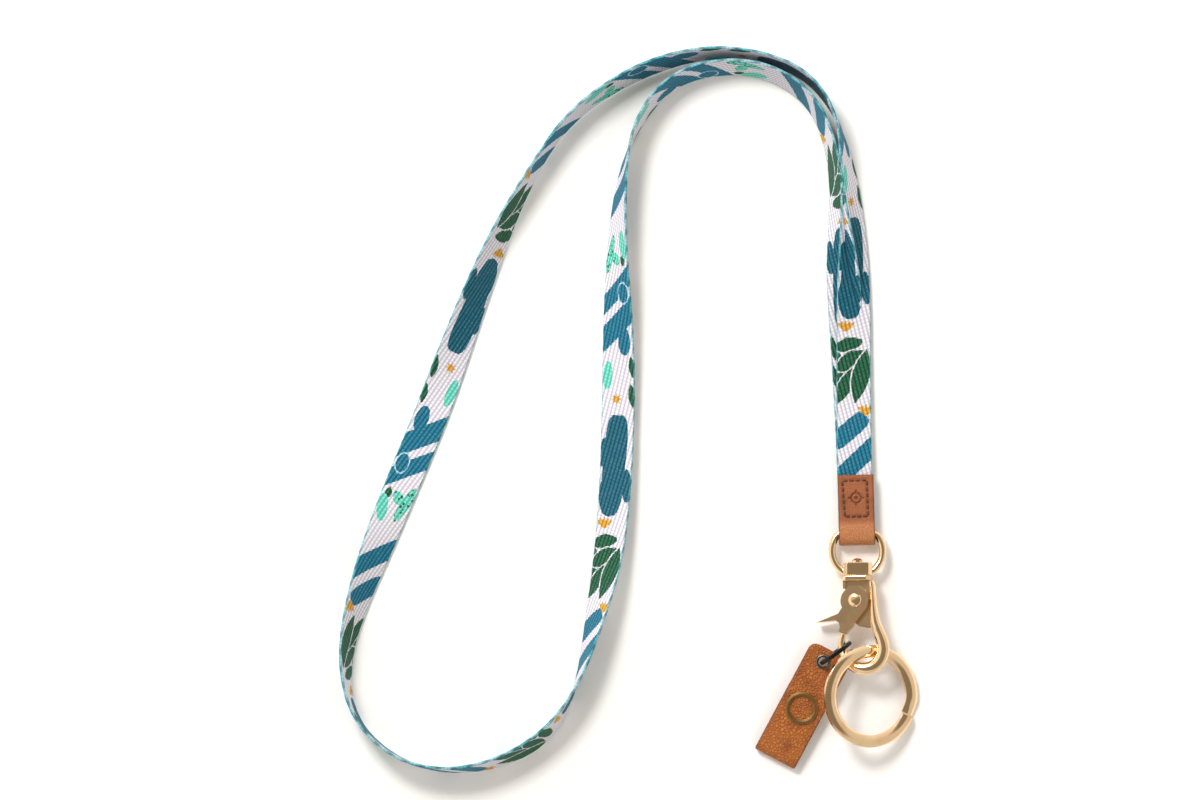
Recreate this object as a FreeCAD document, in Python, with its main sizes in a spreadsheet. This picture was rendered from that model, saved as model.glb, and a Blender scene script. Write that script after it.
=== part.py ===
import FreeCAD
import Part
import Sketcher
import math
import os

# A neck lanyard lying on a table: a loop of printed webbing with both ends sewn into a leather
# end tab, a swivel trigger hook, a split key ring, and a small split ring with a leather keeper.
# Millimetres. +Z is up, the webbing leaves the tab towards +Y, and the hardware lies towards -Y.
# The origin is on the underside of the end tab, at the middle of its length.

Vector = FreeCAD.Vector
Rotation = FreeCAD.Rotation
Placement = FreeCAD.Placement
X_AXIS, Y_AXIS, Z_AXIS = Vector(1, 0, 0), Vector(0, 1, 0), Vector(0, 0, 1)

DIMENSIONS = [
    # alias, value, meaning
    ("strap_width", 12.0, "webbing width"),
    ("strap_thick", 1.1, "webbing thickness"),
    ("tab_width", 12.3, "end tab width"),
    ("tab_length", 24.2, "end tab length when folded"),
    ("tab_leather", 1.3, "end tab leather thickness"),
    ("tab_lean", 1.5, "degrees that the tab leans in its plane"),
    ("stack_height", 2.4, "room for the two webbing ends between the tab's layers"),
    ("loop_height", 3.45, "room for the D ring's bar inside the fold"),
    ("stitch_length", 1.5, "length of one stitch"),
    ("stitch_width", 0.45, "width of the thread"),
    ("stitch_height", 0.2, "height of a stitch above the leather"),
    ("bar_offset", 4.0, "D ring's bar from the fold's end"),
    ("eye_radius", 8.7, "D ring's centreline radius"),
    ("eye_drop", 5.8, "from the bar to the centre of the D ring's round part"),
    ("eye_corner", 2.6, "centreline radius of the D ring's corners"),
    ("eye_wire", 2.5, "D ring's wire diameter"),
    ("eye_pitch", 7.2, "degrees that the hook rises towards its tip"),
    ("collar_top", 10.0, "from the bar to the collar's top"),
    ("collar_height", 4.4, "collar's height along the swivel axis"),
    ("collar_width", 9.9, "collar's width"),
    ("collar_depth", 6.0, "collar's depth"),
    ("stud_radius", 1.5, "swivel stud's radius"),
    ("stud_play", 0.06, "radial play of a turning fit"),
    ("stud_head", 1.9, "radius of the stud's peened head"),
    ("hook_roll", 15.6, "degrees that the hook is rolled about its swivel axis"),
    ("shoulder_gap", 0.2, "between the collar and the hook's shoulder"),
    ("shoulder_height", 1.6, "shoulder's height"),
    ("shoulder_width", 9.9, "shoulder's width"),
    ("neck_top", -0.45, "height of the neck plate's face under the lever"),
    ("neck_thick", 1.55, "neck plate's thickness"),
    ("hook_eye_x", 1.3, "centre of the hook's eye, across"),
    ("hook_eye_y", -22.7, "centre of the hook's eye, along"),
    ("hook_eye_radius", 5.6, "radius of the hook's eye"),
    ("pivot_x", -0.48, "lever pivot, across"),
    ("pivot_y", -8.5, "lever pivot, along"),
    ("lever_radius", 4.7, "radius of the lever's round end"),
    ("lever_low", -0.3, "height of the lever's underside"),
    ("lever_thick", 2.0, "lever's thickness"),
    ("lever_reach", 12.2, "from the pivot to the lever's nose"),
    ("nose_gap", 0.15, "between the lever's nose and the hook's tip"),
    ("thumb_depth", 1.6, "how far the thumb tab reaches below the lever"),
    ("rivet_radius", 1.2, "lever rivet's radius"),
    ("rivet_head", 2.35, "radius of the rivet's head"),
    ("rivet_dome", 1.1, "height of the rivet's head"),
    ("spring_radius", 2.2, "lever spring's mean radius"),
    ("spring_wire", 0.4, "lever spring's wire diameter"),
    ("spring_pitch", 0.46, "lever spring's pitch"),
    ("spring_turns", 1.6, "lever spring's turns"),
    ("spring_room", 3.0, "radius of the spring's pocket in the lever"),
    ("spring_depth", 1.25, "depth of the spring's pocket in the lever"),
    ("key_outer", 17.5, "key ring's outer radius"),
    ("key_inner", 13.3, "key ring's inner radius"),
    ("key_coil", 1.4, "thickness of one coil of the key ring"),
    ("key_x", 4.8, "key ring's centre"),
    ("key_y", -63.5, "key ring's centre"),
    ("key_z", 8.05, "key ring's centre"),
    ("key_tilt", 24.0, "degrees that the key ring's left side is lifted"),
    ("key_end", 118.0, "degrees round the key ring to the coils' ends"),
    ("small_outer", 6.5, "keeper ring's outer radius"),
    ("small_inner", 5.0, "keeper ring's inner radius"),
    ("small_coil", 0.75, "thickness of one coil of the keeper ring"),
    ("small_x", -7.1, "keeper ring's centre"),
    ("small_y", -48.77, "keeper ring's centre"),
    ("small_z", 6.7, "keeper ring's centre"),
    ("small_turn", 35.4, "degrees from +X to the upright keeper ring's plane"),
    ("small_end", 60.0, "degrees round the keeper ring to the coils' ends"),
    ("keeper_width", 15.3, "keeper's width"),
    ("keeper_length", 42.0, "keeper's length when folded"),
    ("keeper_leather", 1.35, "keeper's leather thickness"),
    ("keeper_gap", 1.0, "between the keeper's layers"),
    ("keeper_corner", 3.0, "radius of the keeper's upper corners"),
    ("keeper_x", -28.0, "middle of the keeper's fold"),
    ("keeper_y", -85.1, "middle of the keeper's fold"),
    ("keeper_turn", -28.0, "degrees from +Y to the keeper's length"),
    ("keeper_pitch", 2.0, "degrees that the keeper's eyelet end is lifted"),
    ("flap_length", 28.0, "keeper's back layer, from the fold"),
    ("fold_slit", 0.06, "between the fold and the flap, at the hinge line"),
    ("eyelet_along", 37.3, "eyelet from the fold"),
    ("eyelet_across", -0.9, "eyelet from the keeper's middle"),
    ("eyelet_hole", 1.65, "eyelet's hole radius"),
    ("eyelet_barrel", 2.0, "eyelet's barrel radius"),
    ("eyelet_flange", 2.5, "eyelet's flange radius"),
    ("eyelet_rim", 0.35, "thickness of the eyelet's flange and washer"),
    ("snap_along", 19.9, "snap fastener from the fold"),
    ("cap_outer", 5.6, "snap cap's outer radius"),
    ("cap_inner", 4.0, "snap cap's inner radius"),
    ("cap_height", 0.7, "snap cap's height"),
    ("prong_radius", 0.35, "radius of the snap cap's prongs"),
    ("prong_circle", 4.7, "radius of the prongs' circle"),
    ("prong_count", 5.0, "number of prongs"),
    ("socket_outer", 5.3, "snap socket's outer radius"),
    ("socket_bore", 2.35, "radius of the snap socket's mouth"),
    ("socket_height", 0.7, "snap socket's height"),
    ("snap_post", 2.0, "radius of the snap stud's post"),
    ("post_height", 0.85, "height of the snap stud's post"),
    ("snap_base", 3.8, "radius of the snap stud's base"),
    ("base_height", 0.2, "height of the snap stud's base"),
    ("back_outer", 3.6, "snap back ring's outer radius"),
    ("back_inner", 1.3, "snap back ring's inner radius"),
    ("back_height", 0.5, "snap back ring's height"),
]

# The webbing's route, from inside the tab, round the loop and back: the middle of the webbing,
# and its tilt in degrees from lying flat (90 is on edge), the left edge in travel going up.
STRAP_ROUTE = [
    (-0.2, -2.4, 3.1, 0), (-0.6, 14.5, 3.1, 0), (-0.9, 42.0, 2.0, 0), (-0.9, 72.0, 2.4, 10),
    (-1.2, 96.0, 4.6, 44), (-2.8, 117.0, 6.2, 66), (-7.2, 136.6, 6.3, 92), (-17.6, 149.6, 6.3, 102),
    (-33.6, 155.6, 6.3, 105), (-51.5, 156.8, 6.3, 108), (-69.8, 152.2, 6.1, 113),
    (-86.4, 143.6, 6.2, 110), (-99.6, 132.6, 6.3, 105), (-108.9, 119.2, 6.3, 103),
    (-118.6, 101.6, 5.9, 117), (-128.0, 80.0, 4.9, 136), (-136.6, 57.0, 2.8, 156),
    (-145.0, 33.5, 0.7, 180), (-153.8, 12.5, 0.7, 180), (-163.2, -10.5, 3.0, 155),
    (-171.2, -32.0, 5.1, 128), (-175.4, -51.2, 6.0, 108), (-172.6, -70.6, 6.3, 92),
    (-159.0, -84.6, 6.3, 90), (-141.0, -89.6, 6.3, 84), (-121.6, -86.6, 6.0, 72),
    (-104.8, -76.6, 5.8, 66), (-95.4, -60.2, 6.3, 92), (-89.6, -38.6, 5.5, 119),
    (-84.6, -16.0, 3.7, 148), (-82.2, 10.0, 2.6, 158), (-81.2, 40.0, 2.3, 165),
    (-81.5, 66.0, 3.9, 146), (-81.9, 88.0, 5.4, 124), (-80.6, 113.0, 6.3, 104),
    (-75.2, 133.2, 6.2, 77), (-63.2, 147.4, 6.0, 69), (-46.2, 152.3, 5.8, 65),
    (-28.6, 150.2, 5.9, 68), (-14.2, 139.6, 6.1, 72), (-7.6, 121.6, 6.2, 74),
    (-5.9, 100.0, 5.8, 62), (-4.0, 74.0, 1.2, 4), (-1.9, 42.0, 0.65, 0), (-0.6, 14.5, 1.9, 0),
    (-0.2, -2.4, 1.9, 0),
]
ARC_SHARE = 0.45      # an arc's tangent length, as a share of the shorter run beside it
ARC_STEP = 8.0        # degrees between the cross-sections round an arc
RUN_STEP = 6.0        # millimetres between the cross-sections along a straight run
TABLE_GAP = 0.05      # the least height of the webbing's lower edge above the table

# The bow of the hook: across, along, half width, half depth, from the neck round to the tip.
BOW_STATIONS = [
    (5.0, -1.9, 0.85, 1.7), (5.6, -8.3, 1.1, 1.8), (5.8, -12.6, 1.45, 1.9), (6.5, -16.8, 1.85, 2.0),
    (7.9, -20.8, 2.1, 2.0), (8.9, -24.6, 2.2, 2.0), (8.3, -28.3, 2.25, 2.0),
    (6.0, -31.0, 2.25, 2.0), (2.6, -32.0, 2.2, 2.0), (-0.8, -31.3, 2.1, 1.9),
    (-3.5, -29.2, 1.9, 1.75), (-5.1, -26.4, 1.6, 1.5), (-5.7, -23.6, 1.35, 1.25),
    (-5.3, -20.9, 1.2, 1.15), (-4.5, -18.9, 1.15, 1.1),
]
BOW_SECTIONS = 26

# The neck plate's outline, from the shoulder's left end round by the hook's eye.
NECK_OUTLINE = [(-4.5, -1.2), (5.0, -1.2), (5.7, -8.5), (6.0, -13.0), (6.7, -17.9), (3.2, -17.9),
                (0.2, -17.2), (-2.4, -14.6), (-4.3, -11.0)]

doc = FreeCAD.newDocument("Lanyard")
sheet = doc.addObject("Spreadsheet::Sheet", "Dims")
VALUES = {}
for row, (alias, number, meaning) in enumerate(DIMENSIONS, start=1):
    sheet.set("A%d" % row, meaning)
    sheet.set("B%d" % row, str(number))
    sheet.setAlias("B%d" % row, alias)
    VALUES[alias] = number
doc.recompute()


class Size:
    """A length worked out from the sheet, kept as an expression's text and as its number."""

    def __init__(self, text, number):
        self.text = text
        self.number = number

    def __add__(self, other):
        return joined(self, "+", other, self.number + as_size(other).number)

    def __sub__(self, other):
        return joined(self, "-", other, self.number - as_size(other).number)

    def __mul__(self, factor):
        return joined(self, "*", factor, self.number * factor)

    def __truediv__(self, divisor):
        return joined(self, "/", divisor, self.number / divisor)

    def __neg__(self):
        return Size("(-1 * %s)" % self.text, -self.number)


def as_size(value):
    """A plain number as a Size, and a Size as it is."""
    if isinstance(value, Size):
        return value
    return Size("%g" % value, float(value))


def joined(left, sign, right, number):
    """The Size that the two sides and the sign between them make."""
    return Size("(%s %s %s)" % (left.text, sign, as_size(right).text), number)


def size(alias):
    """The sheet's cell of that name."""
    return Size("Dims." + alias, VALUES[alias])


def number(alias):
    """The plain number in the sheet's cell of that name."""
    return sheet.get(alias)


# ---------------------------------------------------------------- building blocks

def new_body(label):
    body = doc.addObject("PartDesign::Body", label)
    body.Label = label
    return body


def new_sketch(body, role, height=None):
    """A sketch on one of the body's own origin planes, lifted by height along its normal."""
    plane = [feature for feature in body.Origin.OriginFeatures if feature.Role == role][0]
    sketch = body.newObject("Sketcher::SketchObject", body.Label + "_sketch")
    sketch.AttachmentSupport = [(plane, "")]
    sketch.MapMode = "FlatFace"
    if height is not None:
        sketch.setExpression("AttachmentOffset.Base.z", as_size(height).text)
    return sketch


def corner_at(sketch, geometry, corner):
    """Hold a line's start at a corner by its distances from the sketch's origin."""
    across, up = as_size(corner[0]), as_size(corner[1])
    for kind, distance, own_axis in (("DistanceX", across, -2), ("DistanceY", up, -1)):
        if abs(distance.number) < 1e-9:
            sketch.addConstraint(Sketcher.Constraint("PointOnObject", geometry, 1, own_axis))
            continue
        index = sketch.addConstraint(
            Sketcher.Constraint(kind, -1, 1, geometry, 1, distance.number))
        sketch.setExpression("Constraints[%d]" % index, distance.text)


def outline(sketch, corners):
    """A closed outline of straight lines, every corner of it bound to the sheet."""
    spots = [Vector(as_size(x).number, as_size(y).number, 0) for x, y in corners]
    count = len(spots)
    for index in range(count):
        sketch.addGeometry(Part.LineSegment(spots[index], spots[(index + 1) % count]), False)
    for index in range(count):
        sketch.addConstraint(
            Sketcher.Constraint("Coincident", index, 2, (index + 1) % count, 1))
    for index, corner in enumerate(corners):
        corner_at(sketch, index, corner)


def circle(sketch, across, along, radius):
    """A circle whose radius and centre are bound to the sheet."""
    across, along, radius = as_size(across), as_size(along), as_size(radius)
    centre = Vector(across.number, along.number, 0)
    geometry = sketch.addGeometry(Part.Circle(centre, Z_AXIS, radius.number), False)
    index = sketch.addConstraint(Sketcher.Constraint("Radius", geometry, radius.number))
    sketch.setExpression("Constraints[%d]" % index, radius.text)
    for kind, distance, own_axis in (("DistanceX", across, -2), ("DistanceY", along, -1)):
        if abs(distance.number) < 1e-9:
            sketch.addConstraint(Sketcher.Constraint("PointOnObject", geometry, 3, own_axis))
            continue
        index = sketch.addConstraint(
            Sketcher.Constraint(kind, -1, 1, geometry, 3, distance.number))
        sketch.setExpression("Constraints[%d]" % index, distance.text)


def pad(body, sketch, length, both_ways=False):
    feature = body.newObject("PartDesign::Pad", body.Label + "_pad")
    feature.Profile = sketch
    feature.SideType = "Symmetric" if both_ways else "One side"
    feature.setExpression("Length", as_size(length).text)
    sketch.Visibility = False
    doc.recompute()
    return feature


def pocket(body, sketch, length, upwards):
    """A pocket that must take something away: its direction is along +normal when upwards."""
    before = body.Shape.Volume
    feature = body.newObject("PartDesign::Pocket", body.Label + "_pocket")
    feature.Profile = sketch
    feature.setExpression("Length", as_size(length).text)
    feature.Reversed = upwards
    doc.recompute()
    if body.Shape.Volume > before - 1e-6:
        raise ValueError(body.Label + ": a pocket cuts nothing")
    return feature


def turned_body(label, corners):
    """A body turned about its own Z axis from an outline of radius and height."""
    body = new_body(label)
    sketch = new_sketch(body, "XZ_Plane")
    outline(sketch, corners)
    feature = body.newObject("PartDesign::Revolution", label + "_turned")
    feature.Profile = sketch
    feature.ReferenceAxis = (sketch, ["V_Axis"])
    feature.Angle = 360
    doc.recompute()
    return body


def fillet(body, radius, choose):
    """Round the edges of the body's tip whose middle passes the choose test."""
    base = body.Tip
    names = []
    for index, edge in enumerate(base.Shape.Edges, start=1):
        middle = edge.valueAt((edge.FirstParameter + edge.LastParameter) / 2)
        ends = edge.Vertexes[-1].Point - edge.Vertexes[0].Point
        if choose(middle, ends):
            names.append("Edge%d" % index)
    feature = body.newObject("PartDesign::Fillet", body.Label + "_fillet")
    feature.Base = (base, names)
    feature.setExpression("Radius", as_size(radius).text)
    doc.recompute()
    return feature


def shaped(label, shape, placement):
    """A sub-part whose shape is made with Part's own functions."""
    feature = doc.addObject("Part::Feature", label)
    feature.Label = label
    feature.Shape = shape
    feature.Placement = placement
    return feature


# ---------------------------------------------------------------- where things lie

TAB = Placement(Vector(0, 0, 0), Rotation(Z_AXIS, number("tab_lean")))
BAR_Y = number("bar_offset") - number("tab_length") / 2
BAR_Z = number("tab_leather") + number("loop_height") / 2
EYE = Placement(Vector(0.34, BAR_Y, BAR_Z), Rotation(X_AXIS, -number("eye_pitch")))
COLLAR_END = -(number("collar_top") + number("collar_height"))
HOOK = EYE * Placement(Vector(0, COLLAR_END, 0), Rotation(Y_AXIS, -number("hook_roll")))
PIVOT = HOOK * Placement(Vector(number("pivot_x"), number("pivot_y"), 0), Rotation())
SWIVEL = HOOK * Placement(Vector(0, 0, 0), Rotation(X_AXIS, -90))
KEY_RING = Placement(Vector(number("key_x"), number("key_y"), number("key_z")),
                     Rotation(Y_AXIS, number("key_tilt")))
SMALL_RING = Placement(Vector(number("small_x"), number("small_y"), number("small_z")),
                       Rotation(Z_AXIS, number("small_turn")) * Rotation(X_AXIS, 90))
KEEPER = Placement(Vector(number("keeper_x"), number("keeper_y"), 0),
                   Rotation(Z_AXIS, number("keeper_turn")) * Rotation(X_AXIS, number("keeper_pitch")))


def on_keeper(along, across=0.0, height=0.0):
    """A spot on the keeper, measured from the middle of its fold."""
    return KEEPER * Placement(Vector(across, along, height), Rotation())


# ---------------------------------------------------------------- webbing

def rounded_route(points):
    """Straight runs joined by tangent arcs: stations of place, direction and share of the route."""
    count = len(points)
    spots = [Vector(*point[:3]) for point in points]
    stations = []
    radii = []
    leave = spots[0]
    for index in range(1, count - 1):
        run_in = spots[index] - spots[index - 1]
        run_out = spots[index + 1] - spots[index]
        way_in, way_out = Vector(run_in).normalize(), Vector(run_out).normalize()
        tangent = ARC_SHARE * min(run_in.Length, run_out.Length)
        turn = way_in.getAngle(way_out)
        radii.append(tangent / math.tan(turn / 2))
        arrive = spots[index] - way_in * tangent
        stations += run_stations(leave, arrive, index - 1, index, spots)
        stations += arc_stations(arrive, spots[index], spots[index] + way_out * tangent, turn, index)
        leave = spots[index] + way_out * tangent
    stations += run_stations(leave, spots[-1], count - 2, count - 1, spots)
    stations.append((spots[-1], Vector(spots[-1] - spots[-2]).normalize(), float(count - 1)))
    return stations, radii


def run_stations(start, end, first, last, spots):
    """Stations along a straight run, without its end."""
    way = Vector(end - start).normalize()
    full = (spots[last] - spots[first]).Length
    steps = max(1, round((end - start).Length / RUN_STEP))
    made = []
    for step in range(steps):
        place = start + (end - start) * (step / steps)
        made.append((place, way, first + (place - spots[first]).Length / full))
    return made


def arc_stations(start, corner, end, turn, index):
    """Stations round the arc that is tangent to both runs at a corner, without its end."""
    way_in = Vector(corner - start).normalize()
    way_out = Vector(end - corner).normalize()
    radius = (corner - start).Length / math.tan(turn / 2)
    inward = Vector(way_out - way_in * way_out.dot(way_in)).normalize()
    centre = start + inward * radius
    steps = max(2, round(math.degrees(turn) / ARC_STEP))
    made = []
    for step in range(steps):
        angle = turn * step / steps
        place = centre - inward * (radius * math.cos(angle)) + way_in * (radius * math.sin(angle))
        way = way_in * math.cos(angle) + inward * math.sin(angle)
        made.append((place, way, index - ARC_SHARE / 2 + ARC_SHARE * step / steps))
    return made


def tilt_at(share):
    """The webbing's tilt at a share of the route, in even steps from point to point."""
    index = min(int(share), len(STRAP_ROUTE) - 2)
    step = share - index
    return STRAP_ROUTE[index][3] * (1 - step) + STRAP_ROUTE[index + 1][3] * step


def strap_section(place, way, share):
    """The webbing's rectangular cross-section at a station."""
    level = Vector(-way.y, way.x, 0).normalize()
    upright = Vector(way.cross(level)).normalize()
    tilt = math.radians(tilt_at(share))
    half_width = (level * math.cos(tilt) + upright * math.sin(tilt)) * (number("strap_width") / 2)
    half_thick = (upright * math.cos(tilt) - level * math.sin(tilt)) * (number("strap_thick") / 2)
    resting = abs(half_width.z) + abs(half_thick.z)
    place = Vector(place.x, place.y, max(place.z, resting + TABLE_GAP))
    corners = [place + half_width + half_thick, place - half_width + half_thick,
               place - half_width - half_thick, place + half_width - half_thick]
    return Part.makePolygon(corners + corners[:1])


def make_strap():
    stations, radii = rounded_route(STRAP_ROUTE)
    wires = [strap_section(*station) for station in stations]
    solid = Part.makeLoft(wires, True, True)
    length = sum((after[0] - before[0]).Length for before, after in zip(stations, stations[1:]))
    section = number("strap_width") * number("strap_thick")
    print("strap: length %.1f mm, volume %.0f against section x length %.0f"
          % (length, solid.Volume, section * length))
    print("strap arc radii:", " ".join("%.0f" % radius for radius in radii))
    return shaped("strap", solid, Placement())


# ---------------------------------------------------------------- leather end tab

FOLD_ROOM = 6.0       # length of the fold that is opened to the loop's height
SLOPE = 2.6           # length over which the layers close onto the webbing
SEAM_CORNERS = [(-4.6, 10.2), (3.8, 10.2), (3.9, -2.1), (-4.0, -2.1)]
SEAM_COUNTS = [4, 6, 4, 6]
SEAM_MARGIN = 0.5     # from the seam's line to the edge of the groove that sinks the back seam


def make_end_tab():
    """The tab in side view, as wide as the webbing: a strip folded round the D ring's bar."""
    body = new_body("end_tab")
    top, low = size("tab_length") / 2, -(size("tab_length") / 2)
    leather, stack, loop = size("tab_leather"), size("stack_height"), size("loop_height")
    swell = low + FOLD_ROOM
    sketch = new_sketch(body, "YZ_Plane")
    outline(sketch, [(top, 0), (top, leather), (low + leather, leather),
                     (low + leather, leather + loop), (swell, leather + loop),
                     (swell + SLOPE, leather + stack), (top, leather + stack),
                     (top, leather * 2 + stack), (swell + SLOPE, leather * 2 + stack),
                     (swell, leather * 2 + loop), (low, leather * 2 + loop), (low, 0)])
    pad(body, sketch, size("tab_width"), both_ways=True)
    inner = low.number + leather.number
    fillet(body, (loop / 2) - 0.02,
           lambda middle, ends: abs(middle.y - inner) < 0.01 and abs(ends.x) > 1)
    fillet(body, (loop / 2) + leather - 0.02,
           lambda middle, ends: abs(middle.y - low.number) < 0.01 and abs(ends.x) > 1)
    groove = new_sketch(body, "XY_Plane")
    outline(groove, around_seam(SEAM_MARGIN))
    pocket(body, groove, size("stitch_height") + 0.05, True)
    body.Placement = TAB
    return body


def around_seam(margin):
    """The seam's rectangle, grown by a margin on every side."""
    return [(x + math.copysign(margin, x), y + (margin if y > 0 else -margin))
            for x, y in SEAM_CORNERS]


def stitch(place, angle, height):
    """One stitch: a short rounded bar lying on the leather, its foot at the given height."""
    length, width = number("stitch_length"), number("stitch_width")
    bar = Part.makeBox(length - width, width, number("stitch_height"),
                       Vector(-(length - width) / 2, -width / 2, 0))
    for end in (-1, 1):
        cap = Part.makeCylinder(width / 2, number("stitch_height"),
                                Vector(end * (length - width) / 2, 0, 0))
        bar = bar.fuse(cap)
    bar = bar.removeSplitter()
    bar.Placement = Placement(Vector(place[0], place[1], height), Rotation(Z_AXIS, angle))
    return bar


def seam(height):
    """The stitched rectangle, side by side, with a back-tack in its lower right corner."""
    stitches = []
    for side, count in enumerate(SEAM_COUNTS):
        start, end = Vector(*SEAM_CORNERS[side], 0), Vector(*SEAM_CORNERS[(side + 1) % 4], 0)
        angle = math.degrees(math.atan2(end.y - start.y, end.x - start.x))
        for index in range(count):
            spot = start + (end - start) * ((index + 0.5) / count)
            stitches.append(stitch(spot, angle, height))
    return Part.makeCompound(stitches)


def make_threads():
    face = number("tab_leather") * 2 + number("stack_height")
    shaped("tab_needle_thread", seam(face), TAB)
    shaped("tab_bobbin_thread", seam(0.05), TAB)


# ---------------------------------------------------------------- swivel eye

def swivel_bore(radius, start, end):
    """A round bar along the swivel axis, from one distance below the bar to another."""
    return Part.makeCylinder(radius, end - start, Vector(0, -start, 0), Vector(0, -1, 0))


def eye_path():
    """The D ring's centreline: a straight bar, two rounded corners and a round bow."""
    radius, drop, corner = number("eye_radius"), number("eye_drop"), number("eye_corner")
    across = math.sqrt((radius - corner) ** 2 - (drop - corner) ** 2)
    centre = Vector(0, -drop, 0)
    edges = [Part.LineSegment(Vector(-across, 0, 0), Vector(across, 0, 0)).toShape()]
    corner_centre = Vector(across, -corner, 0)
    outward = Vector(corner_centre - centre).normalize()
    tangent = centre + outward * radius
    halfway = Vector(outward + Y_AXIS).normalize()
    edges.append(Part.Arc(Vector(across, 0, 0), corner_centre + halfway * corner, tangent).toShape())
    mirrored = Vector(-tangent.x, tangent.y, 0)
    edges.append(Part.Arc(tangent, centre - Y_AXIS * radius, mirrored).toShape())
    left_halfway = Vector(-halfway.x, halfway.y, 0)
    left_centre = Vector(-across, -corner, 0)
    edges.append(Part.Arc(mirrored, left_centre + left_halfway * corner,
                          Vector(-across, 0, 0)).toShape())
    return Part.Wire(edges)


def faceted_block(width, depth, top, height, chamfer):
    """A block along the swivel axis with its four long edges chamfered."""
    half_x, half_z = width / 2, depth / 2
    corners = []
    for x_sign, z_sign in ((1, 1), (-1, 1), (-1, -1), (1, -1)):
        near = Vector(x_sign * half_x, top, z_sign * (half_z - chamfer))
        far = Vector(x_sign * (half_x - chamfer), top, z_sign * half_z)
        corners += [near, far] if x_sign * z_sign > 0 else [far, near]
    face = Part.Face(Part.makePolygon(corners + corners[:1]))
    return face.extrude(Vector(0, -height, 0))


def make_swivel_eye():
    wire_radius = number("eye_wire") / 2
    profile = Part.Wire(Part.makeCircle(wire_radius, Vector(0, 0, 0), X_AXIS))
    ring = Part.Wire(eye_path()).makePipeShell([profile], True, True)
    top, height = number("collar_top"), number("collar_height")
    collar = faceted_block(number("collar_width"), number("collar_depth"), -top, height, 1.3)
    collar = collar.makeFillet(0.35, collar.Edges)
    reach = number("eye_radius")
    ring = ring.cut(Part.makeBox(2 * reach, reach, 2 * reach,
                                 Vector(-reach, -top - height + 0.15 - reach, -reach)))
    bore = swivel_bore(number("stud_radius") + number("stud_play"), top - 1, top + height + 1)
    return shaped("swivel_eye", ring.fuse(collar).cut(bore), EYE)


# ---------------------------------------------------------------- hook

def make_swivel_stud():
    """A stud turned about the swivel axis: pressed into the shoulder, peened over the collar."""
    shaft, head = size("stud_radius"), size("stud_head")
    seat = -(size("shoulder_gap") + size("shoulder_height"))
    neck = size("collar_height") + 0.12
    body = turned_body("swivel_stud", [
        (0, seat), (shaft, seat), (shaft, neck), (head, neck), (head, neck + 0.6),
        (head - 0.5, neck + 1.2), (head - 1.2, neck + 1.5), (0, neck + 1.6)])
    body.Placement = SWIVEL
    return body


def bow():
    """The hook's bow: elliptical sections along a smooth line, from the neck to the tip."""
    line = Part.BSplineCurve()
    line.interpolate([Vector(x, y, 0) for x, y, width, depth in BOW_STATIONS])
    knots = [line.parameter(Vector(x, y, 0)) for x, y, width, depth in BOW_STATIONS]
    sections = []
    for index in range(BOW_SECTIONS):
        share = index * (len(BOW_STATIONS) - 1) / (BOW_SECTIONS - 1)
        first = min(int(share), len(BOW_STATIONS) - 2)
        part = share - first
        parameter = knots[first] + (knots[first + 1] - knots[first]) * part
        half_width = mixed(BOW_STATIONS[first][2], BOW_STATIONS[first + 1][2], part)
        half_depth = mixed(BOW_STATIONS[first][3], BOW_STATIONS[first + 1][3], part)
        sections.append(bow_section(line.value(parameter), line.tangent(parameter)[0],
                                    half_width, half_depth))
    return Part.makeLoft(sections, True, False)


def mixed(first, last, part):
    return first + (last - first) * part


def bow_section(place, way, half_width, half_depth):
    """An ellipse across the bow, its longer axis in the hook's plane."""
    sideways = Vector(way.y, -way.x, 0)
    if half_width >= half_depth:
        ellipse = Part.Ellipse(place + sideways * half_width, place + Z_AXIS * half_depth, place)
    else:
        ellipse = Part.Ellipse(place + Z_AXIS * half_depth, place - sideways * half_width, place)
    return Part.Wire(ellipse.toShape())


def upright(radius, x, y, low, high):
    """A round bar along the hook's own Z axis."""
    return Part.makeCylinder(radius, high - low, Vector(x, y, low))


def make_hook_body():
    neck_top, neck_thick = number("neck_top"), number("neck_thick")
    neck_low = neck_top - neck_thick
    corners = [Vector(x, y, neck_low) for x, y in NECK_OUTLINE]
    neck = Part.Face(Part.makePolygon(corners + corners[:1])).extrude(Z_AXIS * neck_thick)
    gap, height = number("shoulder_gap"), number("shoulder_height")
    shoulder = faceted_block(number("shoulder_width"), number("collar_depth"), -gap, height, 1.3)
    shoulder = shoulder.makeFillet(0.3, shoulder.Edges)
    cheek = Part.makeBox(0.9, 3.4, 2.6, Vector(-4.95, -4.4, neck_low + 0.3))
    solid = neck.fuse([shoulder, cheek, bow()])
    pivot_x, pivot_y = number("pivot_x"), number("pivot_y")
    eye = upright(number("hook_eye_radius"), number("hook_eye_x"), number("hook_eye_y"), -1.2, 3)
    eye = eye.fuse(upright(number("hook_eye_radius") - 0.5, number("hook_eye_x"),
                           number("hook_eye_y"), -4, 4))
    keep_bow = bow()
    solid = solid.cut(eye.cut(keep_bow))
    # the lever turns inside this room, whose rim also trims the hook's tip
    room = upright(number("lever_radius") + 0.15, pivot_x, pivot_y, neck_top, 4)
    reach = number("lever_reach") + number("nose_gap")
    tip_cut = upright(reach, pivot_x, pivot_y, -3, 3).common(
        Part.makeBox(6, 7, 6, Vector(-8, -22, -3)))
    rivet = upright(number("rivet_radius"), pivot_x, pivot_y, -4, 4)
    stud = swivel_bore(number("stud_radius"), 0, gap + height)
    solid = solid.cut([room, tip_cut, rivet, stud]).removeSplitter()
    return shaped("hook_body", solid, HOOK)


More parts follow.
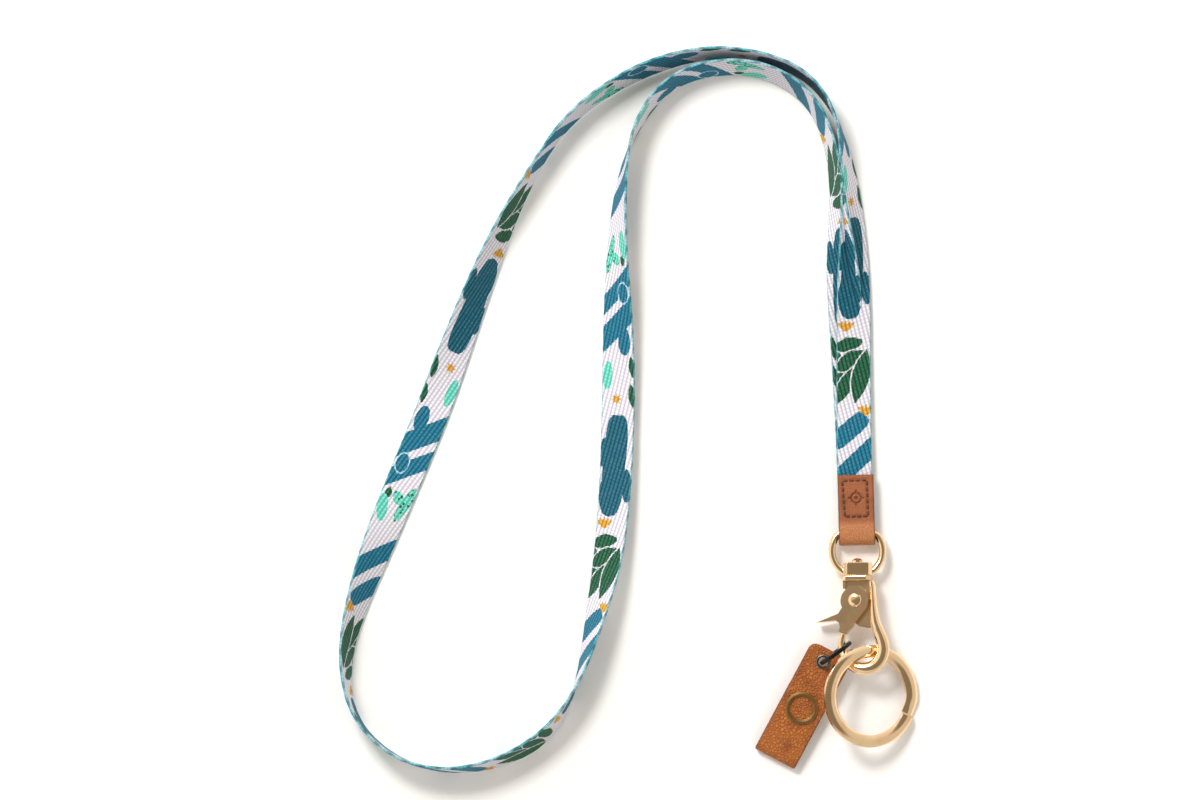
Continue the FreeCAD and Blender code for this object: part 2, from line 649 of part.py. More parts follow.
LEVER_RIGHT = [(4.2, -9.2), (3.4, -11.4), (1.3, -14.0), (-0.9, -16.7)]
LEVER_LEFT = [(-6.2, -19.25), (-5.8, -17.4), (-6.2, -16.2), (-7.5, -15.2), (-9.9, -15.5),
              (-14.2, -15.9), (-9.9, -14.3), (-6.5, -13.0), (-5.1, -10.9)]
THUMB = [(-7.5, -15.2), (-9.9, -15.5), (-14.2, -15.9), (-9.9, -14.3), (-6.5, -13.0),
         (-6.1, -14.4)]


def relative_to_pivot(points):
    return [Vector(x - number("pivot_x"), y - number("pivot_y"), 0) for x, y in points]


def draw(sketch, edges):
    for edge in edges:
        sketch.addGeometry(edge, False)


def lines(points):
    """Straight lines from point to point."""
    return [Part.LineSegment(start, end) for start, end in zip(points, points[1:])]


def lever_edges():
    """The lever's outline about its pivot: round end, right side, eye rim, nose, thumb tab."""
    right, left = relative_to_pivot(LEVER_RIGHT), relative_to_pivot(LEVER_LEFT)
    eye = Vector(number("hook_eye_x") - number("pivot_x"),
                 number("hook_eye_y") - number("pivot_y"), 0)
    rim = [eye + Vector(math.cos(math.radians(angle)), math.sin(math.radians(angle)), 0)
           * number("hook_eye_radius") for angle in (119, 138, 155)]
    reach = number("lever_reach")
    nose = [Vector(rim[2]).normalize() * reach, Vector(left[0]).normalize() * reach]
    middle = Vector(nose[0] + nose[1]).normalize() * reach
    edges = lines(right + [rim[0]])
    edges.append(Part.Arc(rim[0], rim[1], nose[0]))
    edges.append(Part.Arc(nose[0], middle, nose[1]))
    edges += lines([nose[1]] + left[1:])
    crown = Vector(-0.05, number("lever_radius"), 0)
    edges.append(Part.Arc(left[-1], crown, right[0]))
    return edges


def make_trigger_lever():
    body = new_body("trigger_lever")
    sketch = new_sketch(body, "XY_Plane", size("lever_low"))
    draw(sketch, lever_edges())
    pad(body, sketch, size("lever_thick"))
    thumb = new_sketch(body, "XY_Plane", size("lever_low") - size("thumb_depth"))
    corners = relative_to_pivot(THUMB)
    draw(thumb, lines(corners + corners[:1]))
    pad(body, thumb, size("thumb_depth") + size("lever_thick"))
    hole = new_sketch(body, "XY_Plane", size("lever_low"))
    circle(hole, 0, 0, size("rivet_radius") + size("stud_play"))
    pocket(body, hole, size("lever_thick"), True)
    room = new_sketch(body, "XY_Plane", size("lever_low"))
    circle(room, 0, 0, size("spring_room"))
    pocket(body, room, size("spring_depth"), True)
    body.Placement = PIVOT
    return body


def make_lever_rivet():
    """The rivet, turned about the lever's pivot: domed above the lever, flat behind the neck."""
    shaft, head = size("rivet_radius"), size("rivet_head")
    low = size("neck_top") - size("neck_thick")
    high = size("lever_low") + size("lever_thick") + 0.1
    dome = size("rivet_dome")
    body = turned_body("lever_rivet", [
        (0, low - 0.6), (head - 0.5, low - 0.6), (head, low - 0.2), (head, low), (shaft, low),
        (shaft, high), (head, high), (head, high + dome * 0.25), (head * 0.85, high + dome * 0.62),
        (head * 0.5, high + dome * 0.92), (0, high + dome)])
    body.Placement = PIVOT
    return body


SPRING_FOOT = 0.05    # between the neck plate and the spring's lowest wire
SPRING_STEPS = 30     # cross-sections in one turn of the spring
SPRING_SIDES = 10     # sides of each cross-section


def spring_section(step):
    """The spring wire's cross-section, one step further round the rivet and up."""
    around = 2 * math.pi * step / SPRING_STEPS
    outward = Vector(math.cos(around), math.sin(around), 0)
    wire = number("spring_wire") / 2
    foot = number("neck_top") + wire + SPRING_FOOT
    centre = outward * number("spring_radius") + Z_AXIS * (
        foot + number("spring_pitch") * step / SPRING_STEPS)
    corners = []
    for side in range(SPRING_SIDES):
        angle = 2 * math.pi * side / SPRING_SIDES
        corners.append(centre + outward * (wire * math.cos(angle)) + Z_AXIS * (wire * math.sin(angle)))
    return Part.makePolygon(corners + corners[:1])


def make_lever_spring():
    steps = round(number("spring_turns") * SPRING_STEPS)
    coil = Part.makeLoft([spring_section(step) for step in range(steps + 1)], True, True)
    return shaped("lever_spring", coil, PIVOT)


# ---------------------------------------------------------------- split rings

CROSSOVER = 24.0      # degrees over which the wire steps from one coil to the other
END_GAP = 3.0         # degrees between a coil's end and the step
COIL_SLIT = 0.03      # between the two coils


def coil_profile(inner, outer, low, high, roundness):
    """Half-round wire seen on end: flat towards the other coil, rounded on the other side."""
    flat, crown = (low, high) if roundness > 0 else (high, low)
    rise = (crown - flat) * 0.45
    middle = (inner + outer) / 2
    start, end = Vector(inner, 0, flat + rise), Vector(outer, 0, flat + rise)
    edges = [Part.LineSegment(Vector(inner, 0, flat), Vector(outer, 0, flat)).toShape(),
             Part.LineSegment(Vector(outer, 0, flat), end).toShape(),
             Part.Arc(end, Vector(middle, 0, crown), start).toShape(),
             Part.LineSegment(start, Vector(inner, 0, flat)).toShape()]
    return Part.Wire(edges)


def split_ring(label, inner, outer, coil, end_angle, placement):
    """Two coils of one wire: a full turn below, a step up, and a full turn above."""
    full = 360 - CROSSOVER - END_GAP
    lower = Part.Face(coil_profile(inner, outer, -coil, -COIL_SLIT / 2, -1))
    upper = Part.Face(coil_profile(inner, outer, COIL_SLIT / 2, coil, 1))
    lower_coil = lower.revolve(Vector(0, 0, 0), Z_AXIS, full)
    lower_coil.rotate(Vector(0, 0, 0), Z_AXIS, END_GAP)
    upper_coil = upper.revolve(Vector(0, 0, 0), Z_AXIS, full)
    steps = 6
    sections = []
    for step in range(steps + 1):
        part = step / steps
        eased = part * part * (3 - 2 * part)
        wire = coil_profile(inner, outer, -coil + (coil + COIL_SLIT / 2) * eased,
                            -COIL_SLIT / 2 + (coil + COIL_SLIT / 2) * eased, 1)
        wire.rotate(Vector(0, 0, 0), Z_AXIS, -CROSSOVER * (1 - part))
        sections.append(wire)
    crossover = Part.makeLoft(sections, True, True)
    ring = lower_coil.fuse([crossover, upper_coil])
    ring.rotate(Vector(0, 0, 0), Z_AXIS, end_angle)
    return shaped(label, ring, placement)


def make_rings():
    split_ring("key_ring", number("key_inner"), number("key_outer"), number("key_coil"),
               number("key_end"), KEY_RING)
    split_ring("keeper_ring", number("small_inner"), number("small_outer"),
               number("small_coil"), number("small_end"), SMALL_RING)


# ---------------------------------------------------------------- leather keeper

def hole_in_front(body, across, along, radius):
    """A round hole through the keeper's front layer."""
    height = size("keeper_leather") + size("keeper_gap")
    sketch = new_sketch(body, "XY_Plane", height)
    circle(sketch, across, along, radius)
    return pocket(body, sketch, size("keeper_leather"), True)


def prong_spots():
    """The prongs' places round the snap fastener's axis."""
    count = int(number("prong_count"))
    angles = [2 * math.pi * index / count for index in range(count)]
    return [(size("prong_circle") * math.sin(angle), size("prong_circle") * math.cos(angle))
            for angle in angles]


def make_keeper_front():
    """The front layer and the fold, in side view, then the holes and the rounded corners."""
    body = new_body("keeper_front")
    leather, gap, length = size("keeper_leather"), size("keeper_gap"), size("keeper_length")
    bend = leather + gap / 2
    sketch = new_sketch(body, "YZ_Plane")
    outline(sketch, [(0, 0), (bend, 0), (bend, leather), (leather, leather),
                     (leather, leather + gap), (length, leather + gap),
                     (length, leather * 2 + gap), (0, leather * 2 + gap)])
    pad(body, sketch, size("keeper_width"), both_ways=True)
    fillet(body, gap / 2 - 0.02,
           lambda middle, ends: abs(middle.y - leather.number) < 0.01 and abs(ends.x) > 1)
    fillet(body, bend - 0.05, lambda middle, ends: abs(middle.y) < 0.01 and abs(ends.x) > 1)
    fillet(body, size("keeper_corner"),
           lambda middle, ends: abs(middle.y - length.number) < 0.01 and abs(ends.z) > 1)
    hole_in_front(body, size("eyelet_across"), size("eyelet_along"), size("eyelet_barrel"))
    for across, along in prong_spots():
        hole_in_front(body, across, size("snap_along") + along, size("prong_radius"))
    body.Placement = KEEPER
    return body


def make_keeper_flap():
    body = new_body("keeper_flap")
    start = size("keeper_leather") + size("keeper_gap") / 2 + size("fold_slit")
    half, length = size("keeper_width") / 2, size("flap_length")
    sketch = new_sketch(body, "XY_Plane")
    outline(sketch, [(-half, start), (half, start), (half, length), (-half, length)])
    pad(body, sketch, size("keeper_leather"))
    fillet(body, size("keeper_corner"),
           lambda middle, ends: abs(middle.y - length.number) < 0.01 and abs(ends.z) > 1)
    body.Placement = KEEPER
    return body


def make_eyelet():
    """The eyelet's barrel and rolled flange, and its washer on the other side."""
    front = size("keeper_leather") * 2 + size("keeper_gap")
    back = size("keeper_leather") + size("keeper_gap")
    hole, barrel = size("eyelet_hole"), size("eyelet_barrel")
    flange, rim = size("eyelet_flange"), size("eyelet_rim")
    eyelet = turned_body("keeper_eyelet", [
        (hole, back - rim), (barrel, back - rim), (barrel, front), (flange, front),
        (flange, front + rim * 0.5), (flange - 0.25, front + rim), (hole + 0.25, front + rim),
        (hole, front + rim * 0.6)])
    washer = turned_body("eyelet_washer", [
        (barrel, back - rim), (flange + 0.2, back - rim), (flange + 0.2, back), (barrel, back)])
    place = on_keeper(number("eyelet_along"), number("eyelet_across"))
    eyelet.Placement = place
    washer.Placement = place


def make_snap_cap():
    """The open ring on the keeper's front, with its prongs down through the leather."""
    front = size("keeper_leather") * 2 + size("keeper_gap")
    inner, outer, rise = size("cap_inner"), size("cap_outer"), size("cap_height")
    body = turned_body("snap_cap", [
        (inner, front), (outer, front), (outer, front + rise * 0.4),
        (outer - 0.35, front + rise * 0.85), ((inner + outer) / 2, front + rise),
        (inner + 0.35, front + rise * 0.85), (inner, front + rise * 0.4)])
    sketch = new_sketch(body, "XY_Plane", size("keeper_leather") + size("keeper_gap"))
    for across, along in prong_spots():
        circle(sketch, across, along, size("prong_radius"))
    pad(body, sketch, size("keeper_leather") + rise * 0.3)
    body.Placement = on_keeper(number("snap_along"))
    return body


def make_snap_inner_parts():
    """The socket behind the front layer, the stud on the flap and the ring that holds it."""
    leather, gap = size("keeper_leather"), size("keeper_gap")
    front_back = leather + gap
    bore, outer, high = size("socket_bore"), size("socket_outer"), size("socket_height")
    socket = turned_body("snap_socket", [
        (bore, front_back - high), (outer - 0.3, front_back - high), (outer, front_back - high + 0.3),
        (outer, front_back), (bore, front_back)])
    post, base = size("snap_post"), size("snap_base")
    stud = turned_body("snap_stud", [
        (0, leather), (base, leather), (base, leather + size("base_height")),
        (post, leather + size("base_height")), (post, leather + size("post_height") - 0.35),
        (post - 0.4, leather + size("post_height")), (0, leather + size("post_height"))])
    back_in, back_out, back = size("back_inner"), size("back_outer"), size("back_height")
    ring = turned_body("snap_back", [
        (back_in, 0), (back_in, -back * 0.6), (back_in + 0.4, -back), (back_out - 0.4, -back),
        (back_out, -back * 0.6), (back_out, 0)])
    for body in (socket, stud, ring):
        body.Placement = on_keeper(number("snap_along"))


# ---------------------------------------------------------------- build, check and write

make_strap()
make_end_tab()
make_threads()
make_swivel_eye()
make_hook_body()
make_swivel_stud()
make_trigger_lever()
make_lever_rivet()
make_lever_spring()
make_rings()
make_keeper_front()
make_keeper_flap()
make_eyelet()
make_snap_cap()
make_snap_inner_parts()
doc.recompute()

for item in doc.Objects:
    if "Invalid" in item.State or "Error" in item.State:
        raise ValueError(item.Label + " has failed: " + str(item.State))

sub_parts = [item for item in doc.Objects
             if item.TypeId == "PartDesign::Body"
             or (item.TypeId == "Part::Feature" and item.getParentGeoFeatureGroup() is None)]
os.makedirs("parts", exist_ok=True)
for item in sub_parts:
    if item.Shape.isNull() or not item.Shape.isValid():
        raise ValueError(item.Label + " has no valid shape")
for item in sub_parts:
    item.Shape.exportStep("parts/" + item.Label + ".step")
    print("%-18s solids %2d volume %9.2f" % (item.Label, len(item.Shape.Solids), item.Shape.Volume))
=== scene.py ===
"""A neck lanyard lying on a pale table: printed webbing, a leather end tab, a trigger hook,
a split key ring and a leather keeper with a snap fastener.

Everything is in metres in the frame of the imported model. Each soft piece is swept along a line
and takes the place of its plain CAD solid; the metal nodes keep their CAD shape.
"""

import math

import bpy
import numpy as np
from mathutils import Matrix, Vector, noise


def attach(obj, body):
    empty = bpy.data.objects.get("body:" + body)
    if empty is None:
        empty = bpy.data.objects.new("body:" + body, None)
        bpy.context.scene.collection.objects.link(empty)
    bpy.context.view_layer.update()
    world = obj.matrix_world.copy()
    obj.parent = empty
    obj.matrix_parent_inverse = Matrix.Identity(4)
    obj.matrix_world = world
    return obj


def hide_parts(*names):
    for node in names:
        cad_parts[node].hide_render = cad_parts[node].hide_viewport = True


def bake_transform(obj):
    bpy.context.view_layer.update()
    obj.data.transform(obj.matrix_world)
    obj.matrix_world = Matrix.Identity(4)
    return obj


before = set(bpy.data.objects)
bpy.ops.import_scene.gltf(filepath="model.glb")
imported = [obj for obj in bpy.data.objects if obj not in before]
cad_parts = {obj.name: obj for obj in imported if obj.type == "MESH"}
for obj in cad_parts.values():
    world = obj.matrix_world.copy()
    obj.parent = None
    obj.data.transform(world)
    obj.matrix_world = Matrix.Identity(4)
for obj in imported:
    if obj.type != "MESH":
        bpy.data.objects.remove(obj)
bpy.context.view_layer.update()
MM = 0.001

# ---------------------------------------------------------------- sizes, in metres

WEBBING_WIDTH = 0.012
WEBBING_THICK = 0.0011
TABLE_GAP = 0.00005

# The webbing's route, from inside the tab, round the loop and back: the middle of the webbing,
# and its tilt in degrees from lying flat (90 is on edge), the left edge in travel going up.
ROUTE = [
    (-0.0002, -0.0024, 0.0031, 0), (-0.0006, 0.0145, 0.0031, 0), (-0.0009, 0.0420, 0.0020, 0),
    (-0.0009, 0.0720, 0.0024, 10), (-0.0012, 0.0960, 0.0046, 44), (-0.0028, 0.1170, 0.0062, 66),
    (-0.0072, 0.1366, 0.0063, 92), (-0.0176, 0.1496, 0.0063, 102), (-0.0336, 0.1556, 0.0063, 105),
    (-0.0515, 0.1568, 0.0063, 108), (-0.0698, 0.1522, 0.0061, 113), (-0.0864, 0.1436, 0.0062, 110),
    (-0.0996, 0.1326, 0.0063, 105), (-0.1089, 0.1192, 0.0063, 103), (-0.1186, 0.1016, 0.0059, 117),
    (-0.1280, 0.0800, 0.0049, 136), (-0.1366, 0.0570, 0.0028, 156), (-0.1450, 0.0335, 0.0007, 180),
    (-0.1538, 0.0125, 0.0007, 180), (-0.1632, -0.0105, 0.0030, 155), (-0.1712, -0.0320, 0.0051, 128),
    (-0.1754, -0.0512, 0.0060, 108), (-0.1726, -0.0706, 0.0063, 92), (-0.1590, -0.0846, 0.0063, 90),
    (-0.1410, -0.0896, 0.0063, 84), (-0.1216, -0.0866, 0.0060, 72), (-0.1048, -0.0766, 0.0058, 66),
    (-0.0954, -0.0602, 0.0063, 92), (-0.0896, -0.0386, 0.0055, 119), (-0.0846, -0.0160, 0.0037, 148),
    (-0.0822, 0.0100, 0.0026, 158), (-0.0812, 0.0400, 0.0023, 165), (-0.0815, 0.0660, 0.0039, 146),
    (-0.0819, 0.0880, 0.0054, 124), (-0.0806, 0.1130, 0.0063, 104), (-0.0752, 0.1332, 0.0062, 77),
    (-0.0632, 0.1474, 0.0060, 69), (-0.0462, 0.1523, 0.0058, 65), (-0.0286, 0.1502, 0.0059, 68),
    (-0.0142, 0.1396, 0.0061, 72), (-0.0076, 0.1216, 0.0062, 74), (-0.0059, 0.1000, 0.0058, 62),
    (-0.0040, 0.0740, 0.0012, 4), (-0.0019, 0.0420, 0.00065, 0), (-0.0006, 0.0145, 0.0019, 0),
    (-0.0002, -0.0024, 0.0019, 0),
]
STEPS_PER_SPAN = 30
WEBBING_COLUMNS = 34
WEBBING_INSET = 0.1 * MM     # the swept strip's edges stay this far inside the CAD width
EDGE_ROUNDING = 0.9          # share of a strip's half thickness that its edges are rounded by
RIB_PITCH = 1.42 * MM
RIB_LEAN = math.radians(14)
RIB_RISE = 0.1 * MM
RIB_FULLNESS = 0.7
SCALLOP = 0.07 * MM          # how far the threads step in and out along the selvage
SCALLOP_START = 0.0054
SCALLOP_REACH = 0.0006

TAB_WIDTH = 0.0123
TAB_LENGTH = 0.0242
TAB_LEATHER = 0.0013
TAB_LEAN = math.radians(1.5)
TAB_STACK = 0.0024
TAB_LOOP = 0.00345
TAB_SWELL = 0.006
TAB_SLOPE = 0.0026
SEAM_CORNERS = [(-0.0046, 0.0102), (0.0038, 0.0102), (0.0039, -0.0021), (-0.0040, -0.0021)]
SEAM_COUNTS = [4, 6, 4, 6]
SEAM_DIP = 0.00016
SEAM_DIP_NEAR, SEAM_DIP_FAR = 0.0002, 0.0009
STITCH_LENGTH = 0.00165
STITCH_ROWS, STITCH_SIDES = 14, 8
STITCH_RISE = 0.45           # power of the sine that lifts a stitch out of its holes
THREAD_RADIUS = 0.00031
THREAD_TURN = 5              # turns of the thread's mesh and of its lay, in radians per stitch
THREAD_LAY = 22
THREAD_BULGE = 0.16
MARK_AT = (0.0, 0.0042)      # the debossed motif's middle, on the tab's front
MARK_RING = 0.0017
MARK_LINE = 0.00028
MARK_DOT = (0.0004, 0.0008)
MARK_RAYS = (0.0019, 0.0027)
MARK_DEPTH = 0.0004

KEEPER_WIDTH = 0.0153
KEEPER_LENGTH = 0.042
KEEPER_LEATHER = 0.00135
KEEPER_GAP = 0.001
KEEPER_CORNER = 0.003
FLAP_LENGTH = 0.028
EYELET_SPOT = (-0.0009, 0.0373)
EYELET_BORE = 0.00205
EYELET_DIP = (0.0025, 0.0034, 0.0001)   # reach of the full dip, reach of its end, depth
SNAP_ALONG = 0.0199
SNAP_DIPS = [(0.0034, 0.0041, 0.00012), (0.0056, 0.0066, 0.00008)]
KEEPER_GRAIN_SCALE = 1100.0
KEEPER_GRAIN_DEPTH = 0.00005
KEEPER_PLACE = (Matrix.Translation((-0.028, -0.0851, 0))
                @ Matrix.Rotation(math.radians(-28), 4, "Z")
                @ Matrix.Rotation(math.radians(2), 4, "X"))
TAB_PLACE = Matrix.Rotation(TAB_LEAN, 4, "Z")


# ---------------------------------------------------------------- swept meshes

def spline_points(points):
    """The points of a smooth NURBS spline that has these control points."""
    curve = bpy.data.curves.new("route", "CURVE")
    curve.dimensions = "3D"
    curve.resolution_u = STEPS_PER_SPAN
    spline = curve.splines.new("NURBS")
    spline.points.add(len(points) - 1)
    for control, place in zip(spline.points, points):
        control.co = (*place, 1)
    spline.order_u = 3
    spline.use_endpoint_u = True
    holder = bpy.data.objects.new("route", curve)
    mesh = bpy.data.meshes.new_from_object(holder)
    found = np.array([vertex.co for vertex in mesh.vertices])
    bpy.data.objects.remove(holder)
    return found


def unit(vectors):
    """Each vector at a length of 1."""
    return vectors / np.linalg.norm(vectors, axis=1, keepdims=True)


def section(half_width, half_thick, columns, edge_steps=3):
    """A flat strip's cross-section with round edges: across, up, and side (1 above, -1 below)."""
    radius = half_thick * EDGE_ROUNDING
    flat = half_width - radius
    top = [(flat * (1 - 2 * c / columns), half_thick, 1.0) for c in range(columns + 1)]
    bottom = [(-across, -up, -1.0) for across, up, side in top]
    left, right = [], []
    for step in range(1, edge_steps * 2):
        angle = math.pi * step / (edge_steps * 2)
        across, up = radius * math.sin(angle), half_thick * math.cos(angle)
        side = 1 - step / edge_steps
        right.append((-flat - across, up, side))
        left.append((flat + across, -up, -side))
    return np.array(top + right + bottom + left)


def swept(name, places, widths, ups, along, ring, adjust=None):
    """A closed strip: the ring of section points carried along a line of places.
    adjust(along, across, up, side) may change across and up. Its place on the strip is kept on
    each vertex, in millimetres, as the attribute "strip": along, across and side."""
    count, size = len(places), len(ring)
    a = np.repeat(along[:, None], size, axis=1)
    c = np.repeat(ring[None, :, 0], count, axis=0)
    u = np.repeat(ring[None, :, 1], count, axis=0)
    s = np.repeat(ring[None, :, 2], count, axis=0)
    flat_c = c.copy()
    if adjust:
        c, u = adjust(a, c, u, s)
    spots = (places[:, None, :] + widths[:, None, :] * c[..., None]
             + ups[:, None, :] * u[..., None])
    faces = []
    for row in range(count - 1):
        for column in range(size):
            after = (column + 1) % size
            faces.append((row * size + column, row * size + after,
                          (row + 1) * size + after, (row + 1) * size + column))
    faces.append(tuple(range(size - 1, -1, -1)))
    faces.append(tuple((count - 1) * size + column for column in range(size)))
    mesh = bpy.data.meshes.new(name)
    mesh.from_pydata(spots.reshape(-1, 3).tolist(), [], faces)
    strip = mesh.attributes.new("strip", "FLOAT_VECTOR", "POINT")
    values = np.stack([a / MM, flat_c / MM, s], axis=-1).astype(np.float32)
    strip.data.foreach_set("vector", values.ravel())
    mesh.shade_smooth()
    piece = bpy.data.objects.new(name, mesh)
    bpy.context.scene.collection.objects.link(piece)
    return piece


def distances(places):
    """How far along a line each of its places is."""
    steps = np.linalg.norm(np.diff(places, axis=0), axis=1)
    return np.concatenate([[0], np.cumsum(steps)])


# ---------------------------------------------------------------- material helpers

def new_material(name):
    """An empty node material and its tree."""
    material = bpy.data.materials.new(name)
    material.use_nodes = True
    material.node_tree.nodes.clear()
    return material, material.node_tree


def add(tree, kind, inputs=(), **settings):
    """A shader node with its settings, and its inputs joined to sockets or set to values."""
    node = tree.nodes.new("ShaderNode" + kind)
    for key, value in settings.items():
        setattr(node, key, value)
    for key, value in dict(inputs).items():
        if isinstance(value, bpy.types.NodeSocket):
            tree.links.new(value, node.inputs[key])
        else:
            node.inputs[key].default_value = value
    return node


def calc(tree, operation, *values):
    """A maths node's result."""
    return add(tree, "Math", enumerate(values), operation=operation).outputs[0]


def blended(tree, share, first, second, kind="MIX"):
    """Two colours mixed by a share."""
    node = add(tree, "Mix", {0: share, 6: first, 7: second}, data_type="RGBA", blend_type=kind)
    return node.outputs[2]


def ramp(tree, value, low, high, first=0.0, last=1.0):
    """A smooth step of a value from one level to another."""
    inputs = {0: value, 1: low, 2: high, 3: first, 4: last}
    return add(tree, "MapRange", inputs, interpolation_type="SMOOTHSTEP").outputs[0]


def colour(red, green, blue):
    """An sRGB colour, 0 to 255, as the linear colour that shaders use."""
    def linear(value):
        share = value / 255
        return share / 12.92 if share <= 0.04045 else ((share + 0.055) / 1.055) ** 2.4
    return (linear(red), linear(green), linear(blue), 1.0)


def finish_material(tree, base, roughness, normal=None, fixed=()):
    """Joins the results to a surface shader; fixed holds its other inputs."""
    inputs = {"Base Color": base, "Roughness": roughness, **dict(fixed)}
    shader = add(tree, "BsdfPrincipled", inputs)
    if normal is not None:
        tree.links.new(normal, shader.inputs["Normal"])
    output = add(tree, "OutputMaterial")
    tree.links.new(shader.outputs[0], output.inputs[0])


# ---------------------------------------------------------------- webbing print

TEAL = colour(4, 104, 124)
TEAL_LIGHT = colour(12, 122, 148)
GREEN = colour(18, 98, 66)
MINT = colour(116, 214, 194)
GOLD_INK = colour(214, 166, 52)
WHITE = colour(227, 226, 231)
# VALLEY: the colour of the painted shade between the webbing's ribs
VALLEY = colour(212, 206, 216)
OUTLINE = colour(178, 216, 226)
SELVAGE = colour(88, 172, 180)
# VALLEY_GAMMA darkens the ink for that painted shade
VALLEY_GAMMA = 1.5

# The artwork, in millimetres. Its motifs are placed from the middle of the green agave.
REPEAT = 157.0        # length of the artwork, which prints at REPEAT_LENGTH along the webbing
REPEAT_LENGTH = 160.0
REPEAT_START = -42.5  # where the artwork begins, before the agave
FRONT_START = 50.5    # an agave's middle, from the webbing's end, on the front
BACK_START = 280.5    # the same on the back, which is printed separately
STRIPE_CLIMB = 0.9
HIGH_STRIPES = [(77.0, 86.0), (89.5, 96.5)]
LOW_STRIPE = (-35.5, -27.5)


class Print:
    """The printed motifs, as shapes in millimetres: x to the right and y along the webbing."""

    def __init__(self, tree, x, y):
        self.tree = tree
        self.spot = add(tree, "CombineXYZ", {0: x, 1: y}).outputs[0]
        self.x, self.y = x, y
        self.colour = WHITE

    def shape(self, kind, x, y, half_x, half_y, turn=0.0):
        """How far a spot is from a shape's middle: under 1 is inside. An oval is an ellipse,
        a pad is squarer, and any other kind is a leaf with two pointed ends."""
        tree = self.tree
        local = add(tree, "Mapping", {
            "Vector": self.spot, "Location": (x, y, 0), "Rotation": (0, 0, math.radians(turn)),
            "Scale": (half_x, half_y, 1)}, vector_type="TEXTURE").outputs[0]
        if kind == "oval":
            return add(tree, "VectorMath", {0: local}, operation="LENGTH").outputs["Value"]
        if kind == "pad":
            squared = add(tree, "VectorMath", {0: local, 1: local}, operation="MULTIPLY").outputs[0]
            return add(tree, "VectorMath", {0: squared}, operation="LENGTH").outputs["Value"]
        parts = add(tree, "SeparateXYZ", {0: local}).outputs
        wide = calc(tree, "ABSOLUTE", parts[0])
        return calc(tree, "MULTIPLY_ADD", parts[1], parts[1], wide)

    def joined(self, shapes):
        """Several shapes as one: the least of their distances."""
        found = [self.shape(*shape) for shape in shapes]
        nearest = found[0]
        for distance in found[1:]:
            nearest = calc(self.tree, "MINIMUM", nearest, distance)
        return nearest

    def paint(self, distance, ink, limit=1.0):
        """Ink wherever the distance is under the limit."""
        inside = calc(self.tree, "LESS_THAN", distance, limit)
        self.colour = blended(self.tree, inside, self.colour, ink)

    def stripe(self, low, high, ink):
        """A band that climbs to the right across the webbing."""
        tree = self.tree
        level = calc(tree, "MULTIPLY_ADD", self.x, -STRIPE_CLIMB, self.y)
        inside = calc(tree, "MULTIPLY", calc(tree, "GREATER_THAN", level, low),
                      calc(tree, "LESS_THAN", level, high))
        self.colour = blended(tree, inside, self.colour, ink)


# Shapes: kind, x, y, half width, half length, turn in degrees.
AGAVE_LEAVES = [
    ("leaf", -5.4, 0.5, 2.2, 8.0, 10), ("leaf", -2.0, 8.4, 5.2, 2.6, 14),
    ("leaf", -1.2, 3.0, 2.9, 6.4, -58), ("leaf", -3.0, -5.4, 2.4, 7.6, -28),
    ("leaf", 2.4, -2.2, 3.0, 9.4, -13),
]
BIG_CACTUS = [
    ("pad", -0.6, 34.2, 4.1, 17.0, -3), ("oval", -1.4, 24.5, 4.4, 7.6, 0),
    ("oval", 4.4, 27.4, 1.8, 5.6, 4), ("oval", -4.7, 38.5, 1.8, 5.0, -6),
]
STRIPED_CACTUS = [("oval", 2.5, 76.0, 2.3, 4.8, 0)]
DOTTED = [("oval", -3.4, 105.0, 1.7, 6.6, -12), ("oval", -0.3, 103.6, 1.8, 2.4, 40)]
MINT_LEAVES = [("oval", -3.8, 64.5, 1.7, 4.8, -4), ("oval", 3.7, 108.5, 1.9, 4.8, 12)]
GREEN_LEAVES = [
    ("leaf", 5.0, 57.6, 1.3, 4.2, 6), ("leaf", 5.1, 67.2, 1.2, 3.8, 6),
    ("leaf", 3.5, 103.2, 1.2, 2.2, 0),
]
SLANTED_PAD = [("pad", -1.7, -20.4, 7.6, 3.1, 40)]
BUD = ("oval", 2.9, 92.2, 2.2, 3.4)
CROWNS = [(-2.8, 14.6), (4.2, -13.6)]
STAR = (-0.6, 56.5)
DOT_PITCH = 1.15
DOT_GROWTH = 2.6      # a dot ends where its cell's distance times this is 1
LEAF_GAP = 1.16       # pale line round each agave leaf, as a share of the leaf
BUD_RIM, BUD_FILL = 1.12, 0.96


def crown(x, y):
    """A small flower of five pointed petals on a round base."""
    return [("leaf", x + 0.75 * lean, y, 0.62, 2.0, -26 * lean) for lean in (-2, -1, 0, 1, 2)] + [
        ("oval", x, y - 1.0, 1.2, 0.8, 0)]


def star(x, y):
    """A small flower of eight points."""
    return [("leaf", x, y, 0.42, 2.0, turn) for turn in (0, 45, 90, 135)] + [
        ("oval", x, y, 0.85, 0.85, 0)]


